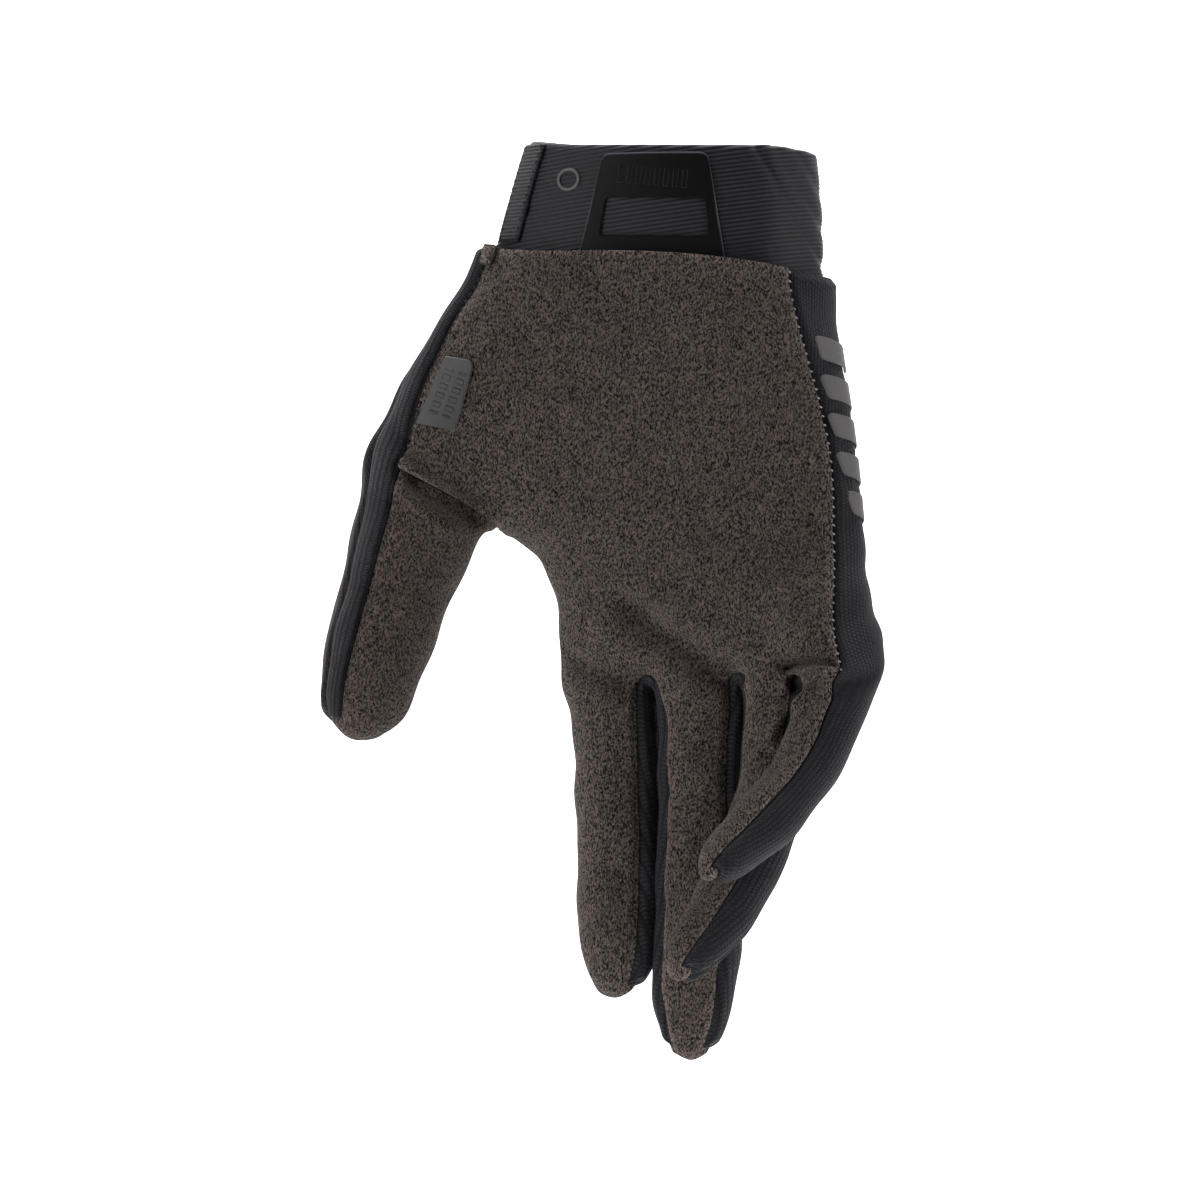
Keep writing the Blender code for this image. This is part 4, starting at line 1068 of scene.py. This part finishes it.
for number in range(BAR_COUNT):
    top, drift = BAR_TOP - number * BAR_PITCH, number * BAR_DRIFT
    corners = (
        (BAR_FRONT + drift, top),
        (BAR_BACK + drift, top - BAR_SLANT),
        (BAR_BACK + drift, top - BAR_SLANT - BAR_HEIGHT),
        (BAR_FRONT + drift, top - BAR_HEIGHT),
    )
    bar = laid_piece(
        f"side_bar_print_{number + 1}", LITTLE_SIDE, rounded_outline(corners, (0.0012,) * 4), None,
        LAYER_GAP + INK, INK, ink, loops=8,
    )
    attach(bar, "root")
    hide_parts(f"side_bar_{number + 1}")

# Stitching: short lengths of thread, each a slim bead with round ends. A row of long stitches
# runs down the welt's edge.
THREAD_SIDES = 5
STITCH_STOPS = np.array([-0.62, 0.0, 0.62])


def thread_beads(centres, along, out, length, radius, arch=0.0):
    """One bead for each centre: rings of five sides along it, closed to a point at each end."""
    across = unit(np.cross(out, along))
    turn = 2 * np.pi * np.arange(THREAD_SIDES) / THREAD_SIDES
    girth = radius * np.sqrt(1 - STITCH_STOPS**2 * 0.55)
    stop = np.repeat(STITCH_STOPS, THREAD_SIDES)
    side = np.outer(girth, np.cos(turn)).ravel()
    rise = np.outer(girth, np.sin(turn)).ravel() - arch * stop**2
    poles = ((stop, [-1, 1]), (side, [0, 0]), (rise, [-arch, -arch]))
    stop, side, rise = (np.concatenate(pair) for pair in poles)
    points = centres[:, None] + along[:, None] * (stop * length / 2)[None, :, None]
    points = points + across[:, None] * side[None, :, None] + out[:, None] * rise[None, :, None]
    tops = grid_faces(len(STITCH_STOPS), THREAD_SIDES)
    pole, last = len(STITCH_STOPS) * THREAD_SIDES, (len(STITCH_STOPS) - 1) * THREAD_SIDES
    i = np.arange(THREAD_SIDES)
    j = (i + 1) % THREAD_SIDES
    ends = [np.stack([0 * i + pole, i, j], axis=1), np.stack([last + i, 0 * i + pole + 1, last + j], axis=1)]
    starts = np.arange(len(centres))[:, None, None] * (pole + 2)
    faces = [(part[None] + starts).reshape(-1, part.shape[1]).tolist() for part in (tops, *ends)]
    return points.reshape(-1, 3), sum(faces, [])


def along_seam(name, pitch, skip_start=0.0, skip_end=0.0):
    """Evenly spaced places on a seam line, with the seam's direction and the outward normal."""
    points, normals = skin.seams[name]
    length = np.concatenate([[0], np.cumsum(np.linalg.norm(np.diff(points, axis=0), axis=1))])
    at = np.arange(skip_start, length[-1] - skip_end, pitch)
    spots, out = (
        np.stack([np.interp(at, length, line[:, i]) for i in range(3)], axis=1) for line in (points, normals)
    )
    return spots, unit(np.gradient(spots, axis=0)), unit(out)


def thread_finish(name, colour):
    made, tree, shader = new_finish(name, 0.6, 0.05)
    tree.links.new(shaded(tree, (*colour,), spread(tree, noise(tree, 0.0004, 2), 0.8)), shader["Base Color"])
    tree.links.new(
        put(tree, "Bump", {"Height": noise(tree, 0.00015, 1), "Strength": 0.5, "Distance": 0.0001}).outputs[0],
        shader["Normal"],
    )
    return made


WELT_STITCH, WELT_THREAD = 0.0020, 0.00022
WELT_STITCH_IN, WELT_STITCH_UP, WELT_STITCH_LEAN = 0.0006, 0.0002, 0.35
spots, way, out = along_seam("welt", WELT_STITCH, 0.004, 0.003)
inwards = unit(np.cross(out, way))
spots = spots + inwards * WELT_STITCH_IN + out * WELT_STITCH_UP
lean_in = unit(way + WELT_STITCH_LEAN * inwards)
welt_stitches = mesh_piece(
    "welt_stitches", *thread_beads(spots, lean_in, out, 0.0015, WELT_THREAD, 0.0002),
    thread_finish("welt_thread", (0.012, 0.011, 0.012)),
)
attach(welt_stitches, "root")

# Palm's edge at the little finger's side: a zigzag whose pale loops show as one dot for each.
ZIGZAG_PITCH, ZIGZAG_LENGTH, ZIGZAG_THREAD = 0.0021, 0.0008, 0.00020
spots, way, out = along_seam("palm_side", ZIGZAG_PITCH, 0.001, 0.001)
crossing = unit(np.cross(out, way) + 0.9 * way)
zigzag = mesh_piece(
    "palm_zigzag", *thread_beads(spots + out * 0.00002, crossing, out, ZIGZAG_LENGTH, ZIGZAG_THREAD, 0.0002),
    thread_finish("pale_thread", (0.34, 0.33, 0.36)),
)
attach(zigzag, "root")

# Cuff's end stitches: two rows of black thread down the folded end.
HEM_ROWS = (((-0.0205, 0.0000), (-0.0228, -0.0205)), ((-0.0132, 0.0000), (-0.0172, -0.0205)))
STITCHES_IN_ROW = 12
black_thread = thread_finish("black_thread", (0.010, 0.010, 0.012))
row_places = [
    np.array(start) + np.linspace(0, 1, STITCHES_IN_ROW)[:, None] * (np.array(end) - start)
    for start, end in HEM_ROWS
]
spots, out = laid_on(np.concatenate(row_places), THUMB_SIDE)
way = unit(np.gradient(spots, axis=0))
# Where one row ends and the next starts, each stitch takes its neighbour's way
way[STITCHES_IN_ROW - 1], way[STITCHES_IN_ROW] = way[STITCHES_IN_ROW - 2], way[STITCHES_IN_ROW + 1]
hem_stitches = mesh_piece(
    "hem_stitches",
    *thread_beads(spots + out * (PATCH + LAYER_GAP - CUFF_INSET + 0.0001), way, out, 0.0013, 0.00022, 0.0002),
    black_thread,
)
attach(hem_stitches, "root")

# Corner loop: a small padded fold of suede where the welt meets the cuff, stitched round.
LOOP_CORNERS = ((-0.0258, -0.0228), (-0.0203, -0.0233), (-0.0213, -0.0277), (-0.0250, -0.0270))
loop_outline = rounded_outline(LOOP_CORNERS, (0.0009,) * 4)
corner_loop = laid_piece(
    "corner_loop", THUMB_SIDE, loop_outline, None, 0.0016, 0.0014,
    suede_finish("loop_suede", (0.085, 0.068, 0.060)), loops=14, soft=0.0015,
)
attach(corner_loop, "root")
spots, out = laid_on(loop_outline[::7], THUMB_SIDE)
way = unit(np.roll(spots, -1, axis=0) - np.roll(spots, 1, axis=0))
loop_stitches = mesh_piece(
    "loop_stitches", *thread_beads(spots + out * 0.0009, way, out, 0.0012, 0.00036, 0.0001), black_thread
)
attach(loop_stitches, "root")

# Room: a pale sheet that runs from the floor up behind the glove in one curve, soft lights at
# both sides, above and over the sheet, and a camera straight in front at the height of the palm.
FLOOR_LEVEL, SHEET_HALF_WIDTH, SHEET_FRONT = -0.32, 3.0, -0.25
SHEET_BEND, SHEET_CURVE, SHEET_TOP = 0.9, 0.9, 2.4
turn = np.linspace(0, np.pi / 2, 24)
profile_y = np.concatenate([[SHEET_FRONT], SHEET_BEND + SHEET_CURVE * np.sin(turn), [SHEET_BEND + SHEET_CURVE]])
profile_z = np.concatenate([[FLOOR_LEVEL], FLOOR_LEVEL + SHEET_CURVE * (1 - np.cos(turn)), [SHEET_TOP]])
edges = np.array([-SHEET_HALF_WIDTH, SHEET_HALF_WIDTH])
sheet_points = np.stack(np.broadcast_arrays(edges[None], profile_y[:, None], profile_z[:, None]), axis=-1)
row = np.arange(len(profile_y) - 1)[:, None] * 2
sheet_finish, tree, shader = new_finish("pale_paper", 0.95)
shader["Base Color"].default_value = (0.90, 0.90, 0.90, 1)
floor = mesh_piece("floor_sheet", sheet_points.reshape(-1, 3), row + np.array([[0, 1, 3, 2]]), sheet_finish)

Light = namedtuple("Light", "name place aim width height power")
LIGHTS = (
    Light("left_softbox", (-0.70, -0.45, 0.05), (0.0, 0.0, -0.10), 0.5, 1.0, 5.6),
    Light("right_softbox", (0.75, -0.30, 0.05), (0.0, 0.0, -0.10), 0.5, 1.0, 4.6),
    Light("top_fill", (0.10, -0.9, 0.95), (0.0, 0.0, -0.10), 1.0, 0.5, 1.1),
    Light("sheet_light", (0.0, 0.7, 1.7), (0.0, 1.6, 0.0), 2.4, 0.8, 110),
)
for light in LIGHTS:
    lamp = bpy.data.lights.new(light.name, "AREA")
    lamp.shape, lamp.size, lamp.size_y, lamp.energy = "RECTANGLE", light.width, light.height, light.power
    holder = bpy.data.objects.new(light.name, lamp)
    holder.location = light.place
    aim = bpy.data.objects.new(light.name, None).location.copy()
    aim.xyz = [end - start for start, end in zip(light.place, light.aim)]
    holder.rotation_euler = aim.to_track_quat("-Z", "Y").to_euler()
    bpy.context.scene.collection.objects.link(holder)

world = bpy.data.worlds.new("soft_daylight")
world.use_nodes = True
world.node_tree.nodes["Background"].inputs["Color"].default_value = (1, 1, 1, 1)
world.node_tree.nodes["Background"].inputs["Strength"].default_value = 0.03
bpy.context.scene.world = world
bpy.context.scene.view_settings.view_transform = "Standard"

lens = bpy.data.cameras.new("front_camera")
lens.lens, lens.sensor_width = 150, 36
camera = bpy.data.objects.new("front_camera", lens)
camera.location = EYE
camera.rotation_euler = (math.radians(90), 0, 0)
bpy.context.scene.collection.objects.link(camera)
bpy.context.scene.camera = camera
